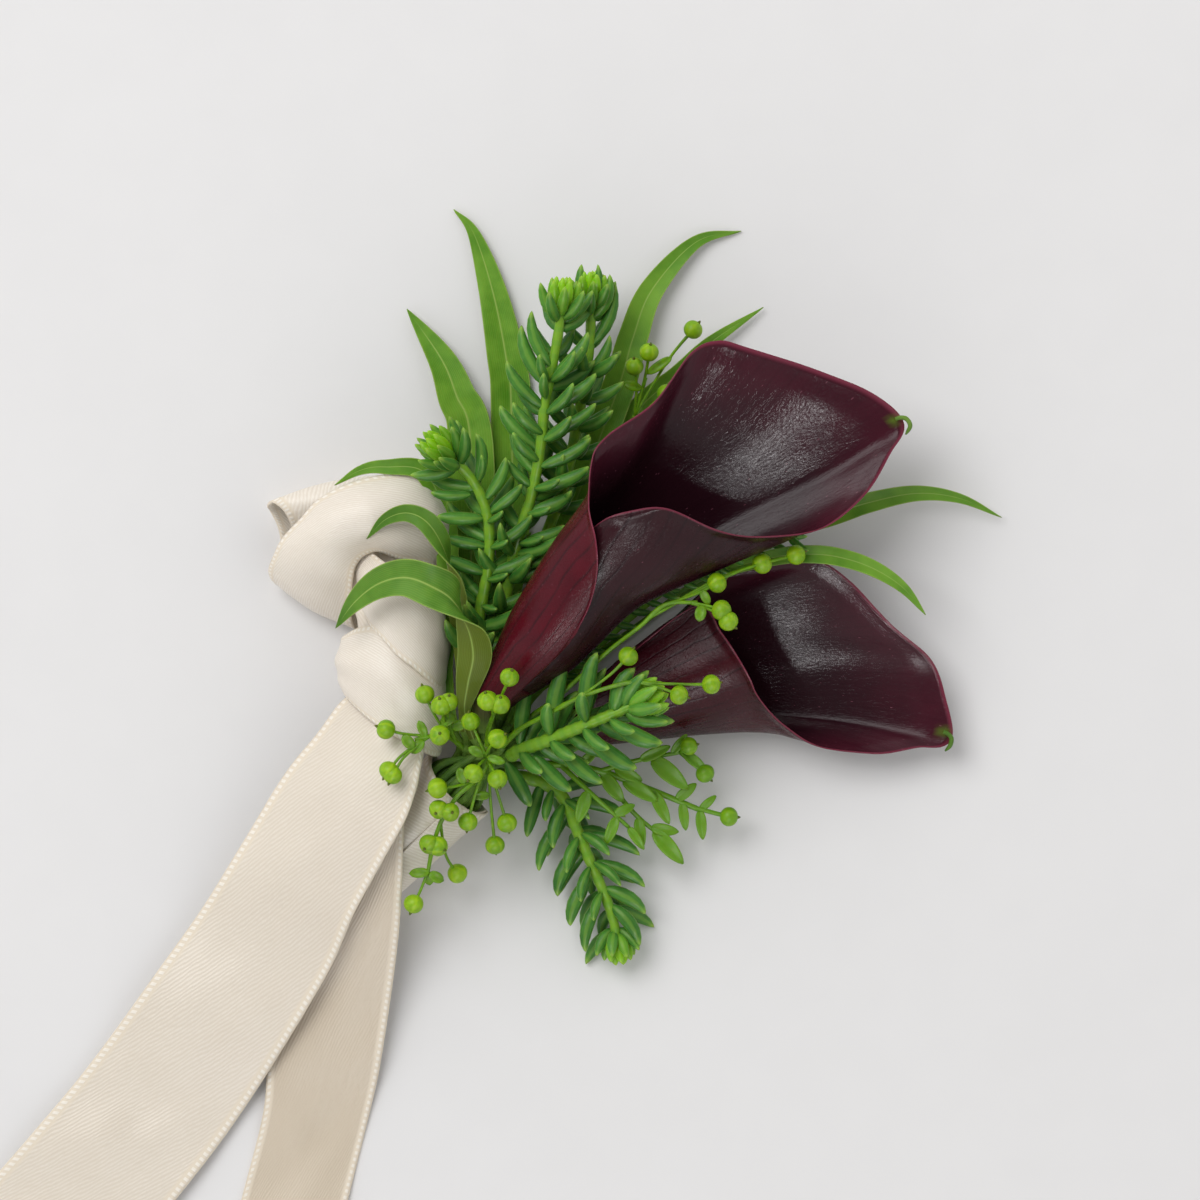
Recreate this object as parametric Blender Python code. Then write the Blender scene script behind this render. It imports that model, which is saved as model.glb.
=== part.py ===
"""A calla lily corsage that lies on a table, seen by someone who looks straight down on it.

Two dark calla blooms, sedum sprigs, narrow leaves and berry sprays come out of one bundle of
bound stems. A satin ribbon is wound round the bundle, and a second length is tied over it in a
knot, a loop and two tails. +Z is up and the table is at z = 0. The origin is on the flat
underside of the wound ribbon. Points and sizes below are in millimetres, and the meshes are
made in metres.
"""

import math
import random

import bmesh
import bpy
import numpy as np

MM = 0.001

# Driving dimensions
RIBBON_WIDTH = 25.0
RIBBON_THICKNESS = 0.7
GAP = 0.35
ROOT_GAP = 0.5
LEAF_THICKNESS = 0.7
SPATHE_THICKNESS = 0.9
SEDUM_STEM = 1.3
SEDUM_LEAF_LENGTH = 10.5
SEDUM_LEAF_WIDTH = 3.2
SEDUM_LEAF_THICKNESS = 2.2
WHORL_LEAVES = 5
BERRY_DIAMETER = 3.7
STALK_RADIUS = 0.5
LEAF_STALK = 1.4
FLOWER_STEM = 2.1
STEM_GAP = 0.45
LEAF_PIECES = 13
SHARP_FROM = math.radians(50)
BLADE_FOLD = 0.1

# The wound ribbon and the stems in it share one axis, which rises a little towards its mouth.
AXIS_AZIMUTH = math.radians(43)
COLLAR_MOUTH = 5.0
COLLAR_BACK = COLLAR_MOUTH - RIBBON_WIDTH
COLLAR_HALF_WIDTH = 7.5
COLLAR_HALF_HEIGHT_BACK = 5.5
COLLAR_HALF_HEIGHT_MOUTH = 8.2
COLLAR_SUNK = 0.5
COLLAR_WALL = 0.9
BUNDLE_BACK = -21.0
BUNDLE_NECK = 4.0
BUNDLE_HEAD = 11.0
BUNDLE_HEAD_RADIUS = 6.0


def smooth_path(points, count):
    """Evenly spaced points on a smooth curve through the given points."""
    p = np.array(points, float)
    p = np.vstack([2 * p[0] - p[1], p, 2 * p[-1] - p[-2]])
    spans = len(points) - 1
    t = np.linspace(0, spans, 30 * spans + 1)
    i = np.minimum(t.astype(int), spans - 1)
    f = (t - i)[:, None]
    a, b, c, d = p[i], p[i + 1], p[i + 2], p[i + 3]
    q = 0.5 * (
        2 * b + (c - a) * f + (2 * a - 5 * b + 4 * c - d) * f**2 + (3 * b - a - 3 * c + d) * f**3
    )
    steps = np.linalg.norm(np.diff(q[:, :3], axis=0), axis=1)
    run = np.concatenate([[0], np.cumsum(steps)])
    want = np.linspace(0, run[-1], count)
    return np.stack([np.interp(want, run, q[:, k]) for k in range(q.shape[1])], axis=1)


def unit(v):
    """The vectors of v at length one."""
    return v / np.maximum(np.linalg.norm(v, axis=-1, keepdims=True), 1e-9)


def tangents(path):
    """The direction of a path at each of its points."""
    return unit(np.gradient(path, axis=0))


def axis_point(t):
    """A point on the bundle's axis, t millimetres from the origin towards the mouth."""
    share = (t - COLLAR_BACK) / (COLLAR_MOUTH - COLLAR_BACK)
    half = COLLAR_HALF_HEIGHT_BACK + share * (COLLAR_HALF_HEIGHT_MOUTH - COLLAR_HALF_HEIGHT_BACK)
    return np.array(
        [t * math.cos(AXIS_AZIMUTH), t * math.sin(AXIS_AZIMUTH), half - COLLAR_SUNK]
    )


def head_root(azimuth, elevation, off=ROOT_GAP):
    """A point just off the bundle's round head, in the direction of the two angles in degrees."""
    a, e = math.radians(azimuth), math.radians(elevation)
    way = np.array([math.cos(e) * math.cos(a), math.cos(e) * math.sin(a), math.sin(e)])
    return tuple(axis_point(BUNDLE_HEAD) + (BUNDLE_HEAD_RADIUS + off) * way)


def material(name, colour, roughness):
    """A plain material of one colour and roughness."""
    made = bpy.data.materials.new(name)
    made.use_nodes = True
    shader = made.node_tree.nodes["Principled BSDF"]
    shader.inputs["Base Color"].default_value = (*colour, 1)
    shader.inputs["Roughness"].default_value = roughness
    return made


def add_object(name, points, faces, look):
    """A named closed object from points in millimetres, with its faces turned outwards."""
    mesh = bpy.data.meshes.new(name)
    mesh.from_pydata([tuple(MM * np.array(p)) for p in points], [], faces)
    work = bmesh.new()
    work.from_mesh(mesh)
    bmesh.ops.recalc_face_normals(work, faces=work.faces)
    work.to_mesh(mesh)
    work.free()
    mesh.materials.append(look)
    made = bpy.data.objects.new(name, mesh)
    bpy.context.scene.collection.objects.link(made)
    return made


def ringed(rings, flip_from=None):
    """Points and triangles of a closed solid through rings of points.

    The side faces from column flip_from on are split along their other diagonal, which makes
    the triangles of a thin blade alike on both of its faces.
    """
    rings = np.asarray(rings, float)
    n, m, _ = rings.shape
    flip_from = m if flip_from is None else flip_from
    points = list(rings.reshape(-1, 3))
    faces = []
    for i in range(n - 1):
        for k in range(m):
            a, b = i * m + k, i * m + (k + 1) % m
            c, d = b + m, a + m
            if k < flip_from:
                faces += [(a, b, c), (a, c, d)]
            else:
                faces += [(a, b, d), (b, c, d)]
    for first, turn in ((0, -1), ((n - 1) * m, 1)):
        loop = [first + k for k in range(m)][::turn]
        faces += [(loop[0], loop[k], loop[k + 1]) for k in range(1, m - 1)]
    return points, faces


def tube_rings(path, radii, sides, up=(0.0, 0.0, 1.0)):
    """Rings of a tube with the given radius at each point of its path."""
    along = tangents(path)
    side = unit(np.cross(along, np.array(up) + 1e-3))
    over = np.cross(side, along)
    turn = np.linspace(0, 2 * math.pi, sides, endpoint=False)
    radii = np.broadcast_to(radii, len(path))[:, None, None]
    ring = np.cos(turn)[:, None] * side[:, None, :] + np.sin(turn)[:, None] * over[:, None, :]
    return path[:, None, :] + radii * ring


def drop_scraps(mesh):
    """Keeps only the largest connected body of a mesh."""
    work = bmesh.new()
    work.from_mesh(mesh)
    left = set(work.verts)
    bodies = []
    while left:
        body = {left.pop()}
        edge = set(body)
        while edge:
            edge = {e.other_vert(v) for v in edge for e in v.link_edges} - body
            body |= edge
        left -= body
        bodies.append(body)
    bodies.sort(key=len, reverse=True)
    for body in bodies[1:]:
        bmesh.ops.delete(work, geom=list(body), context="VERTS")
    work.to_mesh(mesh)
    work.free()


def fuse(body, others):
    """Joins the other objects to the body with one Boolean union, and removes them."""
    group = bpy.data.collections.new(body.name + "_repeats")
    for other in others:
        bpy.context.scene.collection.objects.unlink(other)
        group.objects.link(other)
    bpy.context.scene.collection.children.link(group)
    union = body.modifiers.new("union", "BOOLEAN")
    union.operation = "UNION"
    union.operand_type = "COLLECTION"
    union.collection = group
    union.solver = "MANIFOLD"
    bpy.context.view_layer.update()
    shown = body.evaluated_get(bpy.context.evaluated_depsgraph_get())
    joined = bpy.data.meshes.new_from_object(shown)
    body.modifiers.clear()
    drop_scraps(joined)
    body.data = joined
    for other in others:
        bpy.data.objects.remove(other)
    bpy.data.collections.remove(group)
    return body


# Points of what is already placed, with the room each needs, so that later leaves and berries
# are set clear of other plants.
placed_points = []
placed_room = []
placed_owner = []


def place(owner, points, room):
    """Notes points that the owner fills, each with the radius that it takes up."""
    points = np.asarray(points, float).reshape(-1, 3)
    placed_points.append(points)
    placed_room.append(np.broadcast_to(room, len(points)).astype(float))
    placed_owner.extend([owner] * len(points))


def is_clear(owner, points, room):
    """Whether points with that room around them miss all that other owners fill."""
    if not placed_points:
        return True
    there = np.vstack(placed_points)
    needs = np.concatenate(placed_room)
    other = np.array([o != owner for o in placed_owner])
    points = np.asarray(points, float)
    gaps = np.linalg.norm(points[:, None, :] - there[None, other, :], axis=2)
    room = np.broadcast_to(room, len(points))[:, None]
    return bool((gaps > needs[None, other] + room + GAP).all())


# Blooms. A rim point is (x, y, z, angle, share): where the edge of the spathe is, its angle
# round the tube in degrees (90 is up, 180 is the left side), and how far along the tube it lies.
UPPER_TUBE = (
    (8.6, 17.2, 15.0, 2.6),
    (14.2, 23.5, 17.5, 5.2),
    (18.0, 27.7, 19.5, 7.0),
    (21.9, 32.4, 21.5, 7.9),
    (27.7, 39.4, 24.0, 8.9),
    (35.0, 46.4, 26.0, 10.5),
    (40.3, 54.3, 26.0, 13.0),
)
UPPER_RIM = (
    (19.2, 24.5, 25.0, 60, 0.26),
    (22.6, 28.3, 28.5, 62, 0.37),
    (25.9, 33.4, 31.5, 69, 0.48),
    (27.6, 39.5, 34.0, 87, 0.62),
    (27.6, 45.5, 35.5, 116, 0.72),
    (26.4, 51.3, 35.0, 150, 0.82),
    (26.9, 58.4, 34.0, 175, 0.93),
    (29.2, 63.0, 33.5, 190, 1.0),
    (38.1, 69.6, 32.5, 205, 1.0),
    (46.0, 79.1, 30.0, 228, 1.0),
    (52.7, 79.1, 28.5, 238, 1.0),
    (66.7, 74.7, 24.0, 254, 1.0),
    (75.6, 71.0, 22.0, 264, 1.0),
    (81.0, 66.1, 21.0, 270, 1.0),
    (78.9, 61.2, 22.0, 276, 1.0),
    (74.5, 54.1, 23.5, 284, 1.0),
    (66.7, 48.1, 26.5, 296, 1.0),
    (57.2, 46.5, 29.5, 318, 1.0),
    (48.3, 47.6, 33.0, 352, 1.0),
    (39.4, 51.1, 36.0, 400, 0.94),
    (33.2, 50.6, 36.5, 425, 0.86),
    (28.2, 48.5, 34.8, 450, 0.76),
    (24.5, 43.5, 31.5, 462, 0.62),
    (20.5, 36.5, 27.0, 472, 0.45),
    (16.0, 29.5, 22.5, 480, 0.28),
)
LOWER_TUBE = (
    (16.6, 11.6, 8.0, 2.4),
    (28.0, 14.9, 7.0, 5.0),
    (36.8, 18.4, 6.8, 7.2),
    (45.5, 21.9, 7.0, 8.7),
    (54.3, 25.4, 7.2, 10.2),
    (61.3, 27.1, 7.6, 11.6),
)
LOWER_RIM = (
    (29.0, 19.5, 12.0, 140, 0.32),
    (36.0, 25.0, 14.5, 142, 0.50),
    (46.5, 32.2, 15.5, 140, 0.78),
    (49.3, 29.4, 17.8, 115, 0.80),
    (52.1, 25.5, 19.4, 92, 0.82),
    (54.4, 21.7, 18.8, 68, 0.86),
    (56.0, 18.4, 16.8, 47, 0.90),
    (60.5, 13.3, 11.8, 5, 0.98),
    (66.7, 9.6, 9.2, -30, 1.0),
    (76.6, 8.4, 8.0, -64, 1.0),
    (84.0, 9.5, 7.4, -80, 1.0),
    (89.4, 10.5, 7.2, -90, 1.0),
    (88.4, 17.7, 7.8, -99, 1.0),
    (85.8, 24.5, 9.0, -108, 1.0),
    (78.9, 30.6, 11.2, -120, 1.0),
    (71.8, 37.8, 13.0, -136, 1.0),
    (65.6, 41.5, 14.0, -152, 1.0),
    (57.5, 40.8, 14.6, -174, 1.0),
    (51.0, 39.8, 14.0, -192, 0.96),
    (46.8, 35.6, 13.2, -208, 0.86),
    (42.5, 29.0, 13.0, -222, 0.68),
    (35.0, 22.5, 11.4, -230, 0.46),
    (28.5, 18.0, 9.6, -236, 0.30),
)
UPPER_STEM = (95, 37)
LOWER_STEM = (28, 0)
SHEET_APART = 0.95
FLARE_POWER = 2.2
RISE_POWER = 3.2
FOOT_END = 8
SPADIX_END = 32


def spathe_surface(tube, rim, around, along):
    """The middle surface of a spathe, on a grid of points around its rim and along its tube.

    A line of the surface follows the tube from its base to the rim point's share of the length,
    with a bend towards the rim point that grows with the distance to the power FLARE_POWER, or to
    RISE_POWER in its height. The first margin lies outside the last one, where they overlap.
    """
    edge = smooth_path(rim, around)
    path = smooth_path(tube, 61)
    ahead = tangents(path[:, :3])
    right = unit(np.cross(ahead, (0.0, 0.0, 1.0)))
    over = np.cross(right, ahead)
    v = np.linspace(0, 1, along)
    where = edge[:, 4:5] * v[None, :] * 60
    angle = np.radians(edge[:, 3])[:, None]

    def at(values, s):
        return np.stack(
            [np.interp(s, np.arange(61), values[:, k]) for k in range(values.shape[1])], axis=-1
        )

    turned = np.abs(edge[:, 3] - edge[0, 3])[:, None]
    total = turned[-1, 0]
    outside = np.clip(1 - turned / 120, 0, 1) - np.clip(1 - (total - turned) / 120, 0, 1)

    def tube_point(s):
        frame = at(np.hstack([path, right, over]), s)
        radius = frame[..., 3:4] + SHEET_APART * outside[..., None]
        across = np.cos(angle)[..., None] * frame[..., 4:7]
        upward = np.sin(angle)[..., None] * frame[..., 7:]
        return frame[..., :3] + radius * (across + upward)

    sheet = tube_point(where)
    miss = edge[:, None, :3] - tube_point(edge[:, 4:5] * 60)
    bend = np.stack([v**FLARE_POWER, v**FLARE_POWER, v**RISE_POWER], axis=1)
    sheet = sheet + bend[None] * miss
    return sheet


def sheet_normals(sheet):
    """The unit normal at each point of a grid surface."""
    return unit(np.cross(np.gradient(sheet, axis=0), np.gradient(sheet, axis=1)))


def thick_sheet(name, sheet, thickness, look):
    """A closed solid of even thickness round a grid surface, kept above the table."""
    n, m, _ = sheet.shape
    offset = 0.5 * thickness * sheet_normals(sheet)
    both = np.concatenate([sheet + offset, sheet - offset]).reshape(-1, 3)
    both[:, 2] = np.maximum(both[:, 2], 0.0)
    faces = []
    lower = n * m
    for i in range(n - 1):
        for k in range(m - 1):
            a, b, c, d = i * m + k, i * m + k + 1, (i + 1) * m + k + 1, (i + 1) * m + k
            faces += [(a, b, c), (a, c, d)]
            faces += [(a + lower, c + lower, b + lower), (a + lower, d + lower, c + lower)]
    border = [i * m for i in range(n)]
    border += [(n - 1) * m + k for k in range(1, m)]
    border += [i * m + m - 1 for i in range(n - 2, -1, -1)]
    border += [k for k in range(m - 2, 0, -1)]
    for a, b in zip(border, border[1:] + border[:1]):
        faces += [(a, b, b + lower), (a, b + lower, a + lower)]
    return add_object(name, both, faces, look)


def lump(name, centre, radii, look, around=6, rows=3):
    """A closed rounded lump with the given half sizes along X, Y and Z."""
    high = np.linspace(-0.5 * math.pi, 0.5 * math.pi, rows + 2)[1:-1]
    turn = np.linspace(0, 2 * math.pi, around, endpoint=False)
    points = [np.array([0, 0, -1.0])]
    points += [
        np.array([math.cos(h) * math.cos(a), math.cos(h) * math.sin(a), math.sin(h)])
        for h in high
        for a in turn
    ]
    points.append(np.array([0, 0, 1.0]))
    faces = []
    for k in range(around):
        after = (k + 1) % around
        faces.append((0, 1 + after, 1 + k))
        top = 1 + (rows - 1) * around
        faces.append((len(points) - 1, top + k, top + after))
        for i in range(rows - 1):
            a, b = 1 + i * around + k, 1 + i * around + after
            faces += [(a, b, b + around), (a, b + around, a + around)]
    points = [np.array(centre) + np.array(radii) * p for p in points]
    return add_object(name, points, faces, look)


def make_bloom(name, tube, rim, stem_angles, petal_look, stem_look, spadix_look):
    """One bloom: its spathe on a solid foot, the stem below and the spadix in its throat."""
    sheet = spathe_surface(tube, rim, 27, 8)
    sheet[..., 2] = np.maximum(sheet[..., 2], 0.35 * SPATHE_THICKNESS)
    spathe = thick_sheet(name + "_spathe", sheet, SPATHE_THICKNESS, petal_look)
    path = smooth_path(tube, 61)
    foot = path[: FOOT_END + 1 : 2]
    foot_solid = add_object(
        name + "_foot", *ringed(tube_rings(foot[:, :3], foot[:, 3] + 0.2, 10)), petal_look
    )
    fuse(spathe, [foot_solid])
    place(name, spathe_surface(tube, rim, 90, 40)[::2], 0.5 * SPATHE_THICKNESS)

    spadix_path = path[FOOT_END:SPADIX_END, :3] + GAP * tangents(path[:, :3])[FOOT_END]
    share = np.linspace(0, 1, len(spadix_path))
    radii = 1.9 * np.sqrt(np.clip(1 - share**4, 0.04, 1)) * (0.75 + 0.25 * np.sin(math.pi * share))
    pick = slice(None, None, 3)
    add_object(
        name + "_spadix", *ringed(tube_rings(spadix_path[pick], radii[pick], 8)), spadix_look
    )

    ahead = tangents(path[:, :3])[0]
    top = path[0, :3] - STEM_GAP * ahead
    stem_points = (head_root(*stem_angles, STEM_GAP), top - ahead, top)
    stem = smooth_path(stem_points, 5)
    add_object(name + "_stem", *ringed(tube_rings(stem, FLOWER_STEM, 8)), stem_look)
    place(name, smooth_path(stem_points, 20), FLOWER_STEM)


# Long leaves: the points of the midrib, the greatest width, and side directions where the leaf
# turns over on its way.
LONG_LEAVES = {
    "leaf_up_left": (
        (head_root(112, -34), (5.4, 20.0, 4.2), (5.4, 40.0, 3.6), (5.2, 63.7, 3.6),
         (2.8, 70.9, 3.6), (0.2, 77.2, 3.0), (-5.9, 86.1, 1.4)),
        7.8,
        None,
    ),
    "leaf_up_middle": (
        (head_root(94, -50), (10.0, 19.0, 2.2), (12.4, 42.0, 1.8), (12.4, 69.3, 1.6),
         (11.4, 78.2, 1.8), (9.1, 89.4, 1.8), (5.8, 99.4, 1.2), (2.3, 103.6, 0.5)),
        6.8,
        None,
    ),
    "leaf_up_right": (
        (head_root(78, -30), (12.8, 19.0, 4.2), (18.0, 36.0, 4.2), (22.6, 49.2, 4.4),
         (31.0, 71.6, 4.6), (33.8, 81.0, 4.2), (37.1, 89.4, 3.4), (44.8, 97.8, 2.0),
         (52.8, 99.8, 0.5)),
        5.4,
        None,
    ),
    "leaf_up_far": (
        (head_root(52, -62), (15.6, 19.0, 1.2), (26.0, 49.0, 1.4), (33.2, 66.3, 2.6),
         (42.0, 74.9, 3.4), (47.6, 80.3, 3.0), (56.7, 86.4, 1.2)),
        3.8,
        None,
    ),
    "leaf_left_short": (
        (head_root(146, 8, 0.7), (1.6, 18.0, 10.4), (1.2, 32.0, 11.5), (1.0, 48.0, 13.0),
         (-2.6, 57.2, 13.6), (-9.6, 58.3, 13.4), (-14.0, 57.7, 12.6), (-18.5, 55.1, 11.2)),
        3.6,
        None,
    ),
    "leaf_curled_small": (
        (head_root(132, 34), (4.0, 18.0, 13.4), (3.6, 30.0, 15.5), (2.4, 39.4, 18.5),
         (0.6, 44.6, 21.0), (-2.2, 48.6, 22.4), (-5.8, 50.2, 21.8), (-9.6, 49.0, 19.6),
         (-12.8, 45.7, 16.6)),
        4.6,
        ((1, 0, 0), (1, 0, 0), (1, 0, 0), (0.95, -0.2, 0), (0.8, -0.6, 0), (0.4, -0.9, 0),
         (0, -1, 0), (0.35, -0.9, 0), (0.6, -0.75, 0)),
    ),
    "leaf_curled_large": (
        (head_root(124, 56), (4.4, 15.6, 16.6), (4.8, 20.0, 18.8), (5.6, 25.0, 21.5),
         (4.6, 30.5, 25.0), (2.2, 34.8, 28.0), (-1.4, 37.4, 29.6), (-6.1, 38.9, 29.0),
         (-10.8, 37.8, 27.0), (-14.9, 34.6, 24.0), (-18.2, 30.1, 20.5)),
        7.2,
        ((1, 0, 0), (1, 0, 0), (1, 0, 0), (1, 0, 0), (0.95, -0.2, 0), (0.8, -0.6, 0),
         (0.3, -0.9, 0), (0, -1, 0), (0.35, -0.9, 0), (0.6, -0.75, 0), (0.65, -0.7, 0)),
    ),
    "leaf_right_upper": (
        (head_root(14, -44), (17.4, 14.0, 1.8), (30.0, 30.0, 2.0), (48.0, 44.0, 3.2),
         (68.2, 49.9, 5.4), (75.2, 52.1, 6.0), (83.5, 53.7, 5.6), (91.2, 52.8, 4.2),
         (98.5, 49.5, 1.8)),
        3.9,
        None,
    ),
    "leaf_right_lower": (
        (head_root(54, 12), (14.6, 17.4, 10.4), (24.0, 23.6, 12.0), (31.0, 27.8, 13.8),
         (46.0, 38.4, 17.2), (57.7, 42.3, 19.0), (65.6, 43.0, 19.6), (71.8, 42.0, 18.4),
         (77.0, 39.9, 17.0), (81.4, 36.8, 15.4), (85.0, 32.4, 13.6)),
        2.8,
        None,
    ),
}


def blade_width(share, widest, stalk):
    """The width along a narrow leaf: a stalk, a long swelling and a drawn-out tip."""
    s = np.clip((share - 0.08) / 0.92, 0, 1)
    rise, fall = 1.1, 0.95
    peak = rise / (rise + fall)
    swell = s**rise * (1 - s) ** fall / (peak**rise * (1 - peak) ** fall)
    return np.maximum(stalk * (1 - s), widest * swell) + 0.35


def blade_rings(path, sides, widest, stalk):
    """Rings of a thin leaf: three points across its face, and three below them.

    The face is folded a little along the midrib, which lies lower than both edges.
    """
    along = tangents(path)
    side = unit(sides - np.sum(sides * along, axis=1, keepdims=True) * along)
    over = np.cross(along, side)
    wide = 0.5 * blade_width(np.linspace(0, 1, len(path)), widest, stalk)[:, None]
    rib = path - 2 * BLADE_FOLD * wide * over
    deep = 0.5 * LEAF_THICKNESS * over
    top = [path + wide * side + deep, rib + deep, path - wide * side + deep]
    low = [path - wide * side - deep, rib - deep, path + wide * side - deep]
    return np.stack(top + low, axis=1)


def level_sides(path):
    """Side directions that keep a leaf's face level all along its path."""
    return unit(np.cross((0.0, 0.0, 1.0), tangents(path)))


def make_long_leaf(name, points, widest, sides, look):
    """One long narrow leaf along its midrib's points."""
    def rings(pieces):
        path = smooth_path(points, pieces)
        turned = level_sides(path) if sides is None else unit(smooth_path(sides, pieces))
        made = blade_rings(path, turned, widest, LEAF_STALK)
        made[..., 2] = np.maximum(made[..., 2], 0.0)
        return made

    add_object(name, *ringed(rings(LEAF_PIECES), flip_from=3), look)
    place(name, rings(70)[:, :3], LEAF_THICKNESS)


# Fleshy sprigs: the points of the stem, the share of it where leaves begin, the length of a leaf
# and the number of whorls.
SPRIGS = {
    "sedum_left": (
        (head_root(124, 10), (4.4, 19.4, 10.8), (6.0, 26.0, 12.0), (7.0, 33.1, 14.0),
         (8.4, 40.8, 15.5), (8.4, 49.2, 17.0), (5.8, 55.8, 18.5), (1.4, 60.4, 20.0)),
        0.26, 10.8, 6,
    ),
    "sedum_middle": (
        (head_root(96, 3), (8.2, 20.0, 9.4), (9.8, 27.0, 11.2), (11.4, 35.2, 12.5),
         (13.1, 43.6, 14.0), (15.9, 53.0, 15.5), (17.5, 60.9, 17.0), (18.4, 69.3, 18.0),
         (20.6, 81.0, 19.0), (21.2, 86.0, 19.5)),
        0.2, 10.8, 10,
    ),
    "sedum_back": (
        (head_root(70, -8), (12.0, 20.0, 7.2), (14.6, 31.0, 7.8), (18.2, 45.0, 9.0),
         (21.9, 56.0, 10.5), (24.8, 70.3, 12.0), (26.2, 80.0, 13.0), (26.4, 90.0, 14.0)),
        0.58, 9.6, 5,
    ),
    "sedum_front": (
        (head_root(4, 48), (14.2, 8.8, 15.4), (19.1, 10.6, 18.8), (25.7, 13.3, 22.6),
         (31.3, 15.2, 24.2), (36.0, 16.4, 24.8)),
        0.14, 11.0, 6,
    ),
    "sedum_bottom": (
        (head_root(-34, -12), (16.0, 3.6, 6.8), (21.2, 0.7, 7.4), (24.0, -5.4, 7.2),
         (26.8, -12.1, 6.4), (29.0, -17.1, 5.6), (30.4, -21.5, 5.0), (31.0, -25.0, 4.6)),
        0.22, 10.4, 6,
    ),
    "sedum_between": (
        (head_root(50, -28), (14.4, 16.4, 5.2), (20.0, 22.8, 6.4), (28.0, 30.2, 10.0),
         (36.0, 36.2, 12.0), (44.0, 40.4, 14.4), (56.0, 45.0, 17.6), (64.0, 47.6, 19.0)),
        0.38, 8.0, 6,
    ),
}


def fleshy_leaf(root, out, ahead, length, width, thickness):
    """A plump leaf that leaves the stem outwards and bends forwards: its points and its marks.

    It is pointed at its root and its tip, with four corners where it is widest.
    """
    middle = root + length * (0.40 * out + 0.20 * ahead)
    tip = root + length * (0.80 * out + 0.58 * ahead)
    side = unit(np.cross(ahead, out))
    over = unit(np.cross(side, tip - root))
    corners = [
        middle + 0.5 * width * side,
        middle + 0.5 * thickness * over,
        middle - 0.5 * width * side,
        middle - 0.5 * thickness * over,
    ]
    return np.array([root, *corners, tip]), np.array([middle, 0.5 * (middle + tip), tip])


LEAF_FACES = [(0, 1 + k, 1 + (k + 1) % 4) for k in range(4)]
LEAF_FACES += [(5, 1 + (k + 1) % 4, 1 + k) for k in range(4)]


def stem_frames(path):
    """Directions along a stem and two directions across it."""
    along = tangents(path)
    side = unit(np.cross(along, (0.02, 0.01, 1.0)))
    return along, side, np.cross(side, along)


def whorl_spots(path, first, whorls, count):
    """Where each leaf of a sprig grows: its place, outward and forward directions and share."""
    along, side, over = stem_frames(path)
    last = len(path) - 1
    for w in range(whorls):
        share = first + (0.97 - first) * w / (whorls - 1)
        i = int(round(share * last))
        for k in range(count):
            turn = 2 * math.pi * (k + 0.5 * (w % 2)) / count
            out = math.cos(turn) * side[i] + math.sin(turn) * over[i]
            yield path[i], out, along[i], w / (whorls - 1)


def make_sprig(name, points, first, length, whorls, look, draw):
    """One leafy stem: whorls of plump leaves along it and a tight bud at its tip.

    Leaves grow shorter and more forward near the bud. A leaf that would touch another plant is
    tried shorter and is left out where even that doesn't clear.
    """
    path = smooth_path(points, 9)
    radii = SEDUM_STEM * np.linspace(1.0, 0.75, 9)
    stem = add_object(name, *ringed(tube_rings(path, radii, 5)), look)
    fine = smooth_path(points, 80)
    place(name, fine, SEDUM_STEM)
    leaves = []
    for spot, out, ahead, share in whorl_spots(fine, first, whorls, WHORL_LEAVES):
        near_tip = max(0.0, (share - 0.6) / 0.4)
        size = length * (1 - 0.35 * near_tip) * draw.uniform(0.92, 1.06)
        out_now = unit(out * (1 - 0.45 * near_tip) + 0.45 * near_tip * ahead)
        for shorter in (1.0, 0.8, 0.62):
            wide = SEDUM_LEAF_WIDTH * length / SEDUM_LEAF_LENGTH
            thick = SEDUM_LEAF_THICKNESS * length / SEDUM_LEAF_LENGTH
            points, marks = fleshy_leaf(spot, out_now, ahead, shorter * size, wide, thick)
            if points[:, 2].min() > 0.3 and is_clear(name, marks, (0.5 * thick, 0.5 * thick, 0.3)):
                place(name, marks, (0.5 * thick, 0.5 * thick, 0.3))
                leaves.append(add_object(name + "_leaf", points, LEAF_FACES, look))
                break
    for layer, (count, size, lean) in enumerate(((5, 0.52, 0.5), (4, 0.42, 0.22))):
        for k in range(count):
            turn = 2 * math.pi * (k + 0.5 * layer) / count
            along, side, over = (f[-1] for f in stem_frames(fine))
            out = math.cos(turn) * side + math.sin(turn) * over
            out = unit(lean * out + along)
            spot = fine[-3] + 0.3 * layer * along
            points, marks = fleshy_leaf(spot, out, along, size * length, 0.8 * wide, thick)
            if points[:, 2].min() > 0.3 and is_clear(name, marks, 0.3):
                leaves.append(add_object(name + "_leaf", points, LEAF_FACES, look))
    return fuse(stem, leaves)


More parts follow.
